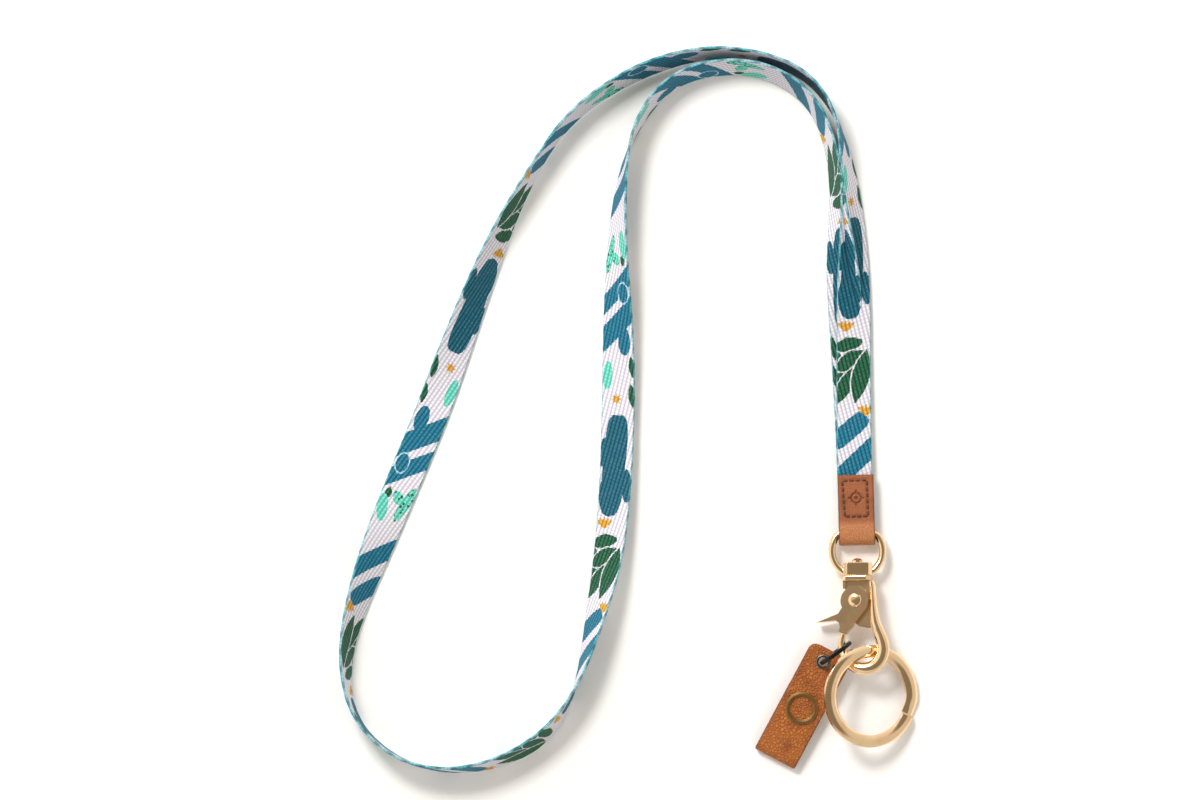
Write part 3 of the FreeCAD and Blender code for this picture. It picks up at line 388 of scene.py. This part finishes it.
def printed(tree, x, y):
    """The print's colour at a spot, x to the right and y along from the agave's middle."""
    art = Print(tree, x, y)
    art.paint(art.joined(GREEN_LEAVES), GREEN)
    for leaf in AGAVE_LEAVES:
        distance = art.shape(*leaf)
        art.paint(distance, WHITE, LEAF_GAP)
        art.paint(distance, GREEN)
    art.paint(art.joined(MINT_LEAVES), MINT)
    art.paint(art.joined(BIG_CACTUS), TEAL)
    for low, high in HIGH_STRIPES:
        art.stripe(low, high, TEAL_LIGHT)
    art.paint(art.joined(STRIPED_CACTUS), TEAL_LIGHT)
    bud = art.shape(*BUD)
    art.paint(bud, OUTLINE, BUD_RIM)
    art.paint(bud, TEAL_LIGHT, BUD_FILL)
    dotted = art.joined(DOTTED)
    voronoi = add(tree, "TexVoronoi", {"Vector": art.spot, "Scale": 1 / DOT_PITCH})
    cells = voronoi.outputs["Distance"]
    dots = calc(tree, "MAXIMUM", dotted, calc(tree, "MULTIPLY", cells, DOT_GROWTH))
    art.paint(dotted, MINT)
    art.paint(dots, GREEN)
    art.stripe(*LOW_STRIPE, TEAL_LIGHT)
    art.paint(art.joined(SLANTED_PAD), TEAL_LIGHT)
    flowers = [petal for place in CROWNS for petal in crown(*place)] + star(*STAR)
    art.paint(art.joined(flowers), GOLD_INK)
    return art.colour


def webbing_material():
    """Printed twill: the artwork on slanting ribs of short threads, with teal edges, painted shade
    between the ribs and painted highlights on their ridges.
    """
    material, tree = new_material("printed_webbing")
    strip = add(tree, "Attribute", attribute_name="strip").outputs["Vector"]
    parts = add(tree, "SeparateXYZ", {0: strip}).outputs
    along, across, side = parts[0], parts[1], parts[2]
    face = calc(tree, "SIGN", side)
    x = calc(tree, "MULTIPLY", calc(tree, "MULTIPLY", across, face), -1.0)
    start = calc(tree, "MULTIPLY_ADD", face, (FRONT_START - BACK_START) / 2,
                 (FRONT_START + BACK_START) / 2)
    from_agave = calc(tree, "SUBTRACT", along, start)
    from_agave = calc(tree, "MULTIPLY", from_agave, REPEAT / REPEAT_LENGTH)
    y = calc(tree, "WRAP", from_agave, REPEAT + REPEAT_START, REPEAT_START)
    # ribs, and the threads that make them up
    slope = math.tan(RIB_LEAN)
    level = calc(tree, "MULTIPLY_ADD", along, -slope, across)
    rib = calc(tree, "DIVIDE", level, RIB_PITCH / MM)
    number = calc(tree, "FLOOR", rib)
    within = calc(tree, "FRACT", rib)
    bow = calc(tree, "PINGPONG", calc(tree, "ADD", within, 0.5), 0.5)
    ridge = ramp(tree, bow, 0.0, 0.4)
    stagger = calc(tree, "MULTIPLY_ADD", number, 0.37, calc(tree, "DIVIDE", along, 1.25))
    slant = calc(tree, "MULTIPLY_ADD", within, 0.55, stagger)
    thread = calc(tree, "PINGPONG", slant, 0.5)
    groove = ramp(tree, thread, 0.02, 0.2)
    # the print's edges follow the threads, so they step a little
    off_middle = calc(tree, "SUBTRACT", calc(tree, "FRACT", slant), 0.5)
    step = calc(tree, "MULTIPLY", off_middle, 0.45)
    wander = add(tree, "TexNoise", {"Vector": strip, "Scale": 1.7, "Detail": 2.0}).outputs["Fac"]
    wavy = calc(tree, "MULTIPLY_ADD", calc(tree, "SUBTRACT", wander, 0.5), 0.5, x)
    ink = printed(tree, wavy, calc(tree, "ADD", y, step))
    # selvage
    rim = calc(tree, "ABSOLUTE", across)
    edge = ramp(tree, rim, 5.3, 5.8)
    ink = blended(tree, calc(tree, "MULTIPLY", edge, 0.75), ink, SELVAGE)
    # painted shade between the ribs and in the grooves between threads, and painted highlights as
    # pale flecks on the ridges
    deeper = add(tree, "Gamma", {0: ink, 1: VALLEY_GAMMA}).outputs[0]
    shaded = blended(tree, 1.0, deeper, VALLEY, "MULTIPLY")
    # painted shade: the ink on the ridges, the shaded ink in the valleys
    body = blended(tree, ridge, shaded, ink)
    between = calc(tree, "SUBTRACT", 1.0, groove)
    # painted shade in the grooves between threads
    body = blended(tree, calc(tree, "MULTIPLY", between, 0.6), body, shaded)
    fleck = add(tree, "TexNoise", {"Vector": strip, "Scale": 2.3, "Detail": 3.0}).outputs["Fac"]
    # painted highlight: pale flecks on the tops of the ribs
    pale = calc(tree, "MULTIPLY", ramp(tree, fleck, 0.52, 0.72), ridge)
    body = blended(tree, calc(tree, "MULTIPLY", pale, 0.12), body, WHITE)
    fibre = add(tree, "TexNoise", {"Vector": strip, "Scale": 14.0, "Detail": 3.0}).outputs["Fac"]
    height = calc(tree, "MULTIPLY_ADD", groove, 0.5, calc(tree, "MULTIPLY_ADD", fibre, 0.3, ridge))
    bump = add(tree, "Bump", {"Strength": 0.55, "Distance": 0.00012, "Height": height})
    rough = calc(tree, "MULTIPLY_ADD", fibre, 0.2, 0.62)
    finish_material(tree, body, rough, bump.outputs[0],
                    {"Sheen Weight": 0.04, "Specular IOR Level": 0.3})
    return material


# ---------------------------------------------------------------- leather, thread and metal

# the burnished edge colour, also used for painted shade in the tab's pressed mark
BURNISH_AND_SHADE = colour(84, 42, 20)
FOLD_TONE_SPAN = (-0.0062, -0.0032)   # the tab's leather turns paler from here to its fold


def leather_material(name, main, dark, grain_scale, grain_depth, fold_tone=None):
    """Leather with pores, soft blotches of tone, painted shade in the grain's creases and darkened,
    burnished edges that on the tab also carry painted shade in its pressed mark.
    """
    material, tree = new_material(name)
    strip = add(tree, "Attribute", attribute_name="strip").outputs["Vector"]
    spot = add(tree, "TexCoord").outputs["Object"]
    worn = add(tree, "Attribute", attribute_name="edge").outputs["Fac"]
    bend = add(tree, "TexNoise", {"Vector": spot, "Scale": grain_scale * 0.5}).outputs["Color"]
    warped = add(tree, "VectorMath", {0: bend, 1: (0.0006, 0.0006, 0.0006), 2: spot},
                 operation="MULTIPLY_ADD").outputs[0]
    pores = add(tree, "TexVoronoi", {"Vector": warped, "Scale": grain_scale * 1.9})
    creases = add(tree, "TexVoronoi", {"Vector": warped, "Scale": grain_scale},
                  feature="DISTANCE_TO_EDGE").outputs["Distance"]
    crease = ramp(tree, creases, 0.0, 0.3)
    blotch = add(tree, "TexNoise", {"Vector": spot, "Scale": 190.0, "Detail": 3.0}).outputs["Fac"]
    fine = add(tree, "TexNoise", {"Vector": spot, "Scale": 2600.0, "Detail": 3.0}).outputs["Fac"]
    tone = blended(tree, ramp(tree, blotch, 0.2, 0.6), dark, main)
    if fold_tone:
        along = add(tree, "SeparateXYZ", {0: spot}).outputs[1]
        near_fold = ramp(tree, along, *FOLD_TONE_SPAN, 1.0, 0.0)
        tone = blended(tree, near_fold, tone, fold_tone)
    # painted shade in the grain's creases
    crease_shade = calc(tree, "SUBTRACT", 1.0, crease)
    tone = blended(tree, calc(tree, "MULTIPLY", crease_shade, 0.65), tone, dark)
    tone = blended(tree, calc(tree, "MULTIPLY", fine, 0.15), tone, dark)
    # burnished edges, and painted shade in the tab's pressed mark, both from the edge attribute
    tone = blended(tree, worn, tone, BURNISH_AND_SHADE)
    height = calc(tree, "MULTIPLY_ADD", pores.outputs["Distance"], -0.5,
                  calc(tree, "MULTIPLY_ADD", fine, 0.4, crease))
    bump = add(tree, "Bump", {"Strength": 0.7, "Distance": grain_depth, "Height": height})
    rough = calc(tree, "MULTIPLY_ADD", blotch, 0.2, 0.42)
    finish_material(tree, tone, rough, bump.outputs[0], {"Specular IOR Level": 0.35})
    return material


def thread_material():
    """Dark waxed thread."""
    material, tree = new_material("waxed_thread")
    spot = add(tree, "TexCoord").outputs["Object"]
    fuzz = add(tree, "TexNoise", {"Vector": spot, "Scale": 5200.0, "Detail": 3.0}).outputs["Fac"]
    tone = blended(tree, fuzz, colour(58, 28, 18), colour(112, 62, 40))
    bump = add(tree, "Bump", {"Strength": 0.6, "Distance": 0.00004, "Height": fuzz})
    finish_material(tree, tone, calc(tree, "MULTIPLY_ADD", fuzz, 0.2, 0.5), bump.outputs[0])
    return material


def metal_material(name, bright, worn, roughness, spread):
    """Metal with slow changes of gloss, fine polishing marks and a duller tone in places."""
    material, tree = new_material(name)
    spot = add(tree, "TexCoord").outputs["Object"]
    cloud = add(tree, "TexNoise", {"Vector": spot, "Scale": 180.0, "Detail": 4.0}).outputs["Fac"]
    stretched = add(tree, "Mapping", {"Vector": spot, "Scale": (700, 6000, 3000)}).outputs[0]
    lines = add(tree, "TexNoise", {"Vector": stretched, "Scale": 1.0, "Detail": 2.0}).outputs["Fac"]
    tone = blended(tree, ramp(tree, cloud, 0.45, 0.75, 0.0, 0.6), bright, worn)
    rough = calc(tree, "MULTIPLY_ADD", cloud, spread, roughness)
    rough = calc(tree, "MULTIPLY_ADD", ramp(tree, lines, 0.5, 0.8), 0.06, rough)
    bump = add(tree, "Bump", {"Strength": 0.25, "Distance": 0.000004, "Height": lines})
    finish_material(tree, tone, rough, bump.outputs[0], {"Metallic": 1.0})
    return material


# ---------------------------------------------------------------- pieces

def make_webbing():
    """The webbing, swept along its route with slanting ribs."""
    places = spline_points([place[:3] for place in ROUTE])
    tilts = np.radians(spline_points([(place[3], 0, 0) for place in ROUTE])[:, 0])
    way = unit(np.gradient(places, axis=0))
    level = unit(np.stack([-way[:, 1], way[:, 0], np.zeros(len(way))], axis=1))
    upright = np.cross(way, level)
    cos, sin = np.cos(tilts)[:, None], np.sin(tilts)[:, None]
    widths = level * cos + upright * sin
    ups = upright * cos - level * sin
    resting = (np.abs(widths[:, 2]) * WEBBING_WIDTH
               + np.abs(ups[:, 2]) * WEBBING_THICK) / 2
    places[:, 2] = np.maximum(places[:, 2], resting + TABLE_GAP)
    along = distances(places)
    slope = math.tan(RIB_LEAN)

    def ribbed(a, c, u, s):
        phase = (c - slope * a) / RIB_PITCH
        ridge = np.abs(np.sin(math.pi * phase)) ** RIB_FULLNESS
        lift = (ridge - 1) * RIB_RISE * np.abs(s)
        scallop = SCALLOP * np.sin(2 * math.pi * a / (RIB_PITCH / slope * 0.5))
        rim = np.clip((np.abs(c) - SCALLOP_START) / SCALLOP_REACH, 0, 1)
        return c + np.sign(c) * scallop * rim, u + np.sign(u) * lift

    ring = section(WEBBING_WIDTH / 2 - WEBBING_INSET, WEBBING_THICK / 2, WEBBING_COLUMNS)
    piece = swept("webbing", places, widths, ups, along, ring, ribbed)
    piece.data.materials.append(webbing_material())
    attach(piece, "tab")
    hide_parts("strap")


def side_line(corners, step):
    """Evenly spaced points on a folded strip's middle line, seen from the side: y and z."""
    corners = np.array(corners)
    reach = distances(corners)
    marks = np.linspace(0, reach[-1], int(reach[-1] / step) + 1)
    return np.stack([np.interp(marks, reach, corners[:, 0]),
                     np.interp(marks, reach, corners[:, 1])], axis=1)


def fold(centre_y, centre_z, radius, steps=24):
    """A half turn of the strip's middle line, from below round to above."""
    angles = [math.pi * step / steps for step in range(steps + 1)]
    return [(centre_y - radius * math.sin(angle), centre_z - radius * math.cos(angle))
            for angle in angles]


def relaxed(line, passes):
    """The line with its corners softened, a little more at each pass."""
    for _ in range(passes):
        line[1:-1] = (line[:-2] + 2 * line[1:-1] + line[2:]) / 4
    return line


def folded_strip(name, line, width, leather, columns, adjust, place):
    """A folded leather strip that is swept along its side line, in its own frame, then placed."""
    places = np.stack([np.zeros(len(line)), line[:, 0], line[:, 1]], axis=1)
    way = unit(np.gradient(places, axis=0))
    widths = np.tile([-1.0, 0.0, 0.0], (len(line), 1))
    ups = np.cross(way, widths)
    ring = section(width / 2, leather / 2, columns)
    piece = swept(name, places, widths, ups, distances(places), ring, adjust)
    piece.data.transform(place)
    return piece


def smooth(value, low, high):
    """A smooth step from 0 at low to 1 at high."""
    share = np.clip((value - low) / (high - low), 0, 1)
    return share * share * (3 - 2 * share)


def mark_edges(piece, reach, ends, shade=0.0):
    """The attribute "edge": 1 on the strip's cut sides, fading out over a short reach, plus painted
    shade given as shade.
    """
    strip = np.empty(len(piece.data.vertices) * 3, np.float32)
    piece.data.attributes["strip"].data.foreach_get("vector", strip)
    strip = strip.reshape(-1, 3)
    side = 1 - np.abs(strip[:, 2])
    half = np.abs(strip[:, 1]).max()
    near = np.clip((np.abs(strip[:, 1]) - (half - reach)) / reach, 0, 1)
    last = strip[:, 0].max()
    tip = np.minimum(strip[:, 0], last - strip[:, 0])
    near = np.maximum(near, np.clip(1 - tip / reach, 0, 1) * ends)
    # shade adds painted shade, such as in the tab's pressed mark, to the burnished edges
    worn = np.clip(side * 0.85 + near * 0.3 + shade, 0, 0.85)
    edge = piece.data.attributes.new("edge", "FLOAT", "POINT")
    edge.data.foreach_set("value", worn.astype(np.float32))


def grain(spots, scale, depth):
    """Small uneven lifts of a leather surface."""
    return np.array([noise.noise(Vector(spot) * scale) for spot in spots]) * depth


def mark_share(x, y):
    """How deep a plain motif, a ring with four short rays and a dot, is pressed: 0 to 1."""
    x, y = x - MARK_AT[0], y - MARK_AT[1]
    reach = np.hypot(x, y)
    ring = 1 - smooth(np.abs(reach - MARK_RING), MARK_LINE * 0.4, MARK_LINE * 1.5)
    dot = 1 - smooth(reach, *MARK_DOT)
    cross = np.minimum(np.abs(x), np.abs(y))
    rays = 1 - smooth(cross, MARK_LINE * 0.4, MARK_LINE * 1.4)
    rays = rays * (reach > MARK_RAYS[0]) * (reach < MARK_RAYS[1])
    return np.maximum(np.maximum(ring, dot), rays)


def make_tab():
    """The end tab: leather folded round the D ring's bar and the webbing's ends."""
    low, top = -TAB_LENGTH / 2, TAB_LENGTH / 2
    half = TAB_LEATHER / 2
    radius = TAB_LOOP / 2 + half
    middle = TAB_LEATHER + TAB_LOOP / 2
    swell = low + TAB_SWELL
    upper = TAB_LEATHER + half
    corners = [(top, half)] + fold(low + radius + half, middle, radius) + [
        (swell, upper + TAB_LOOP), (swell + TAB_SLOPE * 0.5, upper + (TAB_LOOP + TAB_STACK) / 2),
        (swell + TAB_SLOPE, upper + TAB_STACK), (top, upper + TAB_STACK)]
    line = relaxed(side_line(corners, 0.0002), 12)
    y_at = line[:, 0]
    front = np.arange(len(line)) > len(line) / 2
    pressed = {}

    def shaped_leather(a, c, u, s):
        rows = np.broadcast_to(y_at[:, None], a.shape)
        on_front = np.broadcast_to(front[:, None], a.shape) & (s > 0.5)
        pressed["mark"] = mark_share(-c, rows) * on_front
        dip = pressed["mark"] * MARK_DEPTH
        for (x0, y0), (x1, y1) in zip(SEAM_CORNERS, SEAM_CORNERS[1:] + SEAM_CORNERS[:1]):
            run = np.array([x1 - x0, y1 - y0])
            share = np.clip(((-c - x0) * run[0] + (rows - y0) * run[1]) / (run @ run), 0, 1)
            off = np.hypot(-c - x0 - share * run[0], rows - y0 - share * run[1])
            near = 1 - smooth(off, SEAM_DIP_NEAR, SEAM_DIP_FAR)
            dip = np.maximum(dip, near * SEAM_DIP * (np.abs(s) > 0.5))
        return c, u - np.sign(u) * dip

    piece = folded_strip("tab_leather_strip", line, TAB_WIDTH, TAB_LEATHER, 56,
                         shaped_leather, TAB_PLACE)
    # the pressed mark gets painted shade through the edge attribute
    mark_edges(piece, 0.35, 1.0, pressed["mark"].ravel() * 0.6)
    piece.data.materials.append(leather_material(
        "tab_leather", colour(168, 100, 60), colour(136, 76, 44), 1900, 0.00014,
        colour(204, 138, 86)))
    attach(piece, "tab")
    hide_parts("end_tab")


def stitch_mesh(vertices, faces, start, end, height, sink):
    """One stitch: twisted thread that rises out of its hole, lies flat and goes down again."""
    rows, sides = STITCH_ROWS, STITCH_SIDES
    run = end - start
    across = Vector((-run.y, run.x, 0)).normalized()
    first = len(vertices)
    for row in range(rows + 1):
        share = row / rows
        lift = height + sink * (math.sin(math.pi * share) ** STITCH_RISE - 1)
        centre = start + run * share + Vector((0, 0, lift))
        for side in range(sides):
            angle = 2 * math.pi * side / sides + share * THREAD_TURN
            bulge = THREAD_BULGE * math.cos(2 * angle - share * THREAD_LAY)
            radius = THREAD_RADIUS * (1 + bulge)
            outward = across * (radius * math.cos(angle)) + Vector((0, 0, radius * math.sin(angle)))
            vertices.append(TAB_PLACE @ (centre + outward))
    for row in range(rows):
        for side in range(sides):
            after = (side + 1) % sides
            at = first + row * sides
            faces.append((at + side, at + after, at + sides + after, at + sides + side))
    faces.append(tuple(first + side for side in range(sides - 1, -1, -1)))
    faces.append(tuple(first + rows * sides + side for side in range(sides)))


def make_seam(name, node, height, sink, material):
    """The stitches of one thread, round the seam's four sides."""
    vertices, faces = [], []
    for index, count in enumerate(SEAM_COUNTS):
        corner = Vector((*SEAM_CORNERS[index], 0))
        run = Vector((*SEAM_CORNERS[(index + 1) % 4], 0)) - corner
        for stitch in range(count):
            middle = corner + run * ((stitch + 0.5) / count)
            half = run.normalized() * (STITCH_LENGTH / 2)
            stitch_mesh(vertices, faces, middle - half, middle + half, height, sink)
    mesh = bpy.data.meshes.new(name)
    mesh.from_pydata([tuple(v) for v in vertices], [], faces)
    mesh.shade_smooth()
    piece = bpy.data.objects.new(name, mesh)
    bpy.context.scene.collection.objects.link(piece)
    piece.data.materials.append(material)
    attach(piece, "tab")
    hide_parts(node)


def bored(piece, place, radius, low, high):
    """Bores a round hole through the piece, along the keeper's height."""
    sides = 40
    angles = [2 * math.pi * k / sides for k in range(sides)]
    ring = [(radius * math.cos(angle), radius * math.sin(angle)) for angle in angles]
    vertices = [(x, y, low) for x, y in ring] + [(x, y, high) for x, y in ring]
    faces = [(k, (k + 1) % sides, sides + (k + 1) % sides, sides + k) for k in range(sides)]
    faces += [tuple(range(sides - 1, -1, -1)), tuple(range(sides, 2 * sides))]
    mesh = bpy.data.meshes.new("bore")
    mesh.from_pydata(vertices, [], faces)
    mesh.transform(place)
    tool = bpy.data.objects.new("bore", mesh)
    bpy.context.scene.collection.objects.link(tool)
    cut = piece.modifiers.new("hole", "BOOLEAN")
    cut.operation, cut.object, cut.solver = "DIFFERENCE", tool, "EXACT"
    graph = bpy.context.evaluated_depsgraph_get()
    graph.update()
    made = bpy.data.meshes.new_from_object(piece.evaluated_get(graph))
    piece.modifiers.clear()
    piece.data = made
    bpy.data.objects.remove(tool)


def make_keeper():
    """The keeper: one folded leather strip. Also gives the two ends of its bend at the fold."""
    half = KEEPER_LEATHER / 2
    radius = (KEEPER_GAP + KEEPER_LEATHER) / 2
    bend = KEEPER_LEATHER + KEEPER_GAP / 2
    upper = KEEPER_LEATHER + KEEPER_GAP + half
    corners = [(FLAP_LENGTH, half)] + fold(bend, bend, radius) + [(KEEPER_LENGTH, upper)]
    line = relaxed(side_line(corners, 0.00025), 4)
    total = distances(line)[-1]
    y_at = line[:, 0]
    front = np.arange(len(line)) > len(line) / 2

    def shaped_leather(a, c, u, s):
        rows = np.broadcast_to(y_at[:, None], a.shape)
        into = np.clip(KEEPER_CORNER - np.minimum(a, total - a), 0, KEEPER_CORNER)
        round_end = KEEPER_CORNER - np.sqrt(np.maximum(KEEPER_CORNER ** 2 - into ** 2, 0))
        share = (KEEPER_WIDTH / 2 - round_end) / (KEEPER_WIDTH / 2)
        top = np.broadcast_to(front[:, None], a.shape) & (s > 0.5)
        snap = np.hypot(c, rows - SNAP_ALONG)
        eyelet = np.hypot(-c - EYELET_SPOT[0], rows - EYELET_SPOT[1])
        dip = 0
        dips = [(snap, *shape) for shape in SNAP_DIPS] + [(eyelet, *EYELET_DIP)]
        for off, near, far, depth in dips:
            dip = np.maximum(dip, (1 - smooth(off, near, far)) * depth * top)
        spots = np.stack([c, rows, u + a], axis=-1).reshape(-1, 3)
        lift = grain(spots, KEEPER_GRAIN_SCALE, KEEPER_GRAIN_DEPTH).reshape(a.shape) * np.abs(s)
        return c * share, u - np.sign(u) * (dip - lift)

    piece = folded_strip("keeper_leather_strip", line, KEEPER_WIDTH, KEEPER_LEATHER, 60,
                         shaped_leather, Matrix.Identity(4))
    mark_edges(piece, 0.3, 1.0)
    eyelet = Matrix.Translation((*EYELET_SPOT, 0))
    bored(piece, eyelet, EYELET_BORE, KEEPER_LEATHER + KEEPER_GAP * 0.5, upper + KEEPER_LEATHER)
    piece.data.transform(KEEPER_PLACE)
    piece.data.materials.clear()
    piece.data.materials.append(leather_material(
        "keeper_leather", colour(190, 112, 46), colour(134, 68, 22), 950, 0.0004))
    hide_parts("keeper_front", "keeper_flap")
    start = KEEPER_PLACE @ Vector((0, bend, KEEPER_LEATHER + KEEPER_GAP))
    end = KEEPER_PLACE @ Vector((0, bend, KEEPER_LEATHER))
    return piece, start, end


# ---------------------------------------------------------------- stage

TABLE_HALF = 3.0
TABLE_DROP = 0.00002


def make_stage():
    """A pale, matt table top."""
    corners = [(-1, -1), (1, -1), (1, 1), (-1, 1)]
    mesh = bpy.data.meshes.new("table")
    mesh.from_pydata([(x * TABLE_HALF, y * TABLE_HALF, 0) for x, y in corners], [],
                     [(0, 1, 2, 3)])
    table = bpy.data.objects.new("table", mesh)
    table.location.z = -TABLE_DROP
    bpy.context.scene.collection.objects.link(table)
    material, tree = new_material("pale_table")
    spot = add(tree, "TexCoord").outputs["Object"]
    cloud = add(tree, "TexNoise", {"Vector": spot, "Scale": 3.0, "Detail": 2.0}).outputs["Fac"]
    tone = blended(tree, cloud, colour(243, 242, 240), colour(248, 247, 246))
    finish_material(tree, tone, calc(tree, "MULTIPLY_ADD", cloud, 0.1, 0.75))
    mesh.materials.append(material)


LIGHT_AIM = (-0.08, 0.03, 0.0)
# Name, place, width and height, watts, tint, and whether metal shows its reflection.
LIGHTS = [
    ("key", (-0.62, 0.86, 1.1), (0.4, 0.4), 17, (1.0, 0.99, 0.97), True),
    ("fill", (0.9, -0.4, 1.2), (1.0, 1.0), 5, (0.97, 0.985, 1.0), False),
    ("rim", (-0.5, 1.0, 0.55), (0.7, 0.3), 3, (1.0, 1.0, 1.0), True),
]
SKY_DULL_SIDE = (0.85, 0.8, 0.73, 1.0)
SKY_BRIGHT_SIDE = (1.25, 1.23, 1.2, 1.0)
SKY_BRIGHT_WAY = (-0.7, 0.7, 0.0)
SKY_TOP = (0.3, 0.26, 0.21, 1.0)
SKY_TOP_LEVELS = (0.7, 0.8)
SKY_STRENGTH = 0.85


def area_light(name, place, size, power, tint, glossy):
    data = bpy.data.lights.new(name, "AREA")
    data.shape = "RECTANGLE"
    data.size, data.size_y = size
    data.energy = power
    data.color = tint
    light = bpy.data.objects.new(name, data)
    light.location = place
    aim = Vector(LIGHT_AIM) - Vector(place)
    light.rotation_euler = aim.to_track_quat("-Z", "Y").to_euler()
    light.visible_glossy = glossy
    bpy.context.scene.collection.objects.link(light)


def make_light():
    """Three lights, and a sky with bright sides and a dark top for the metal to reflect."""
    for light in LIGHTS:
        area_light(*light)
    world = bpy.data.worlds.new("studio")
    bpy.context.scene.world = world
    world.use_nodes = True
    tree = world.node_tree
    tree.nodes.clear()
    way = add(tree, "TexCoord").outputs["Generated"]
    height = add(tree, "SeparateXYZ", {0: way}).outputs[2]
    lit_side = add(tree, "VectorMath", {0: way, 1: SKY_BRIGHT_WAY}, operation="DOT_PRODUCT")
    around = ramp(tree, lit_side.outputs["Value"], -0.7, 0.7)
    sides = blended(tree, around, SKY_DULL_SIDE, SKY_BRIGHT_SIDE)
    tone = blended(tree, ramp(tree, height, *SKY_TOP_LEVELS), sides, SKY_TOP)
    glow = add(tree, "Background", {"Color": tone, "Strength": SKY_STRENGTH})
    output = add(tree, "OutputWorld")
    tree.links.new(glow.outputs[0], output.inputs[0])
    bpy.context.scene.view_settings.view_transform = "Standard"


VIEW_CENTRE = (-0.0877, 0.0377)
VIEW_WIDTH = 0.411
CAMERA_HEIGHT = 3.0
SENSOR = 36.0


def make_camera():
    """Straight above the lanyard, with the photo's framing."""
    data = bpy.data.cameras.new("camera")
    data.sensor_width = SENSOR
    data.lens = data.sensor_width * CAMERA_HEIGHT / VIEW_WIDTH
    camera = bpy.data.objects.new("camera", data)
    camera.location = (*VIEW_CENTRE, CAMERA_HEIGHT)
    bpy.context.scene.collection.objects.link(camera)
    bpy.context.scene.camera = camera


# ---------------------------------------------------------------- build

make_camera()
make_webbing()
make_tab()
thread = thread_material()
tab_face = TAB_LEATHER * 2 + TAB_STACK
make_seam("front_seam", "tab_needle_thread", tab_face - 0.00002, 0.00045, thread)
make_seam("back_seam", "tab_bobbin_thread", 0.00028, -0.0003, thread)
keeper, fold_start, fold_end = make_keeper()
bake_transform(keeper)

GOLD = metal_material("light_gold", colour(250, 218, 176), colour(238, 194, 144), 0.1, 0.08)
STEEL = metal_material("spring_steel", colour(190, 190, 192), colour(150, 150, 152), 0.3, 0.1)
BLACK = metal_material("black_oxide", colour(52, 50, 50), colour(30, 30, 32), 0.26, 0.14)
NICKEL = metal_material("dark_nickel", colour(120, 112, 104), colour(82, 74, 66), 0.24, 0.14)
BRASS = metal_material("antique_brass", colour(150, 118, 74), colour(84, 60, 34), 0.3, 0.16)
FINISHES = {
    "swivel_eye": GOLD, "swivel_stud": GOLD, "hook_body": GOLD, "trigger_lever": GOLD,
    "lever_rivet": GOLD, "lever_spring": STEEL, "key_ring": GOLD, "keeper_ring": BLACK,
    "keeper_eyelet": NICKEL, "eyelet_washer": NICKEL, "snap_cap": BRASS, "snap_socket": BRASS,
    "snap_stud": BRASS, "snap_back": BRASS,
}
for node, finish in FINISHES.items():
    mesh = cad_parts[node].data
    mesh.materials.clear()
    mesh.materials.append(finish)

make_stage()
make_light()
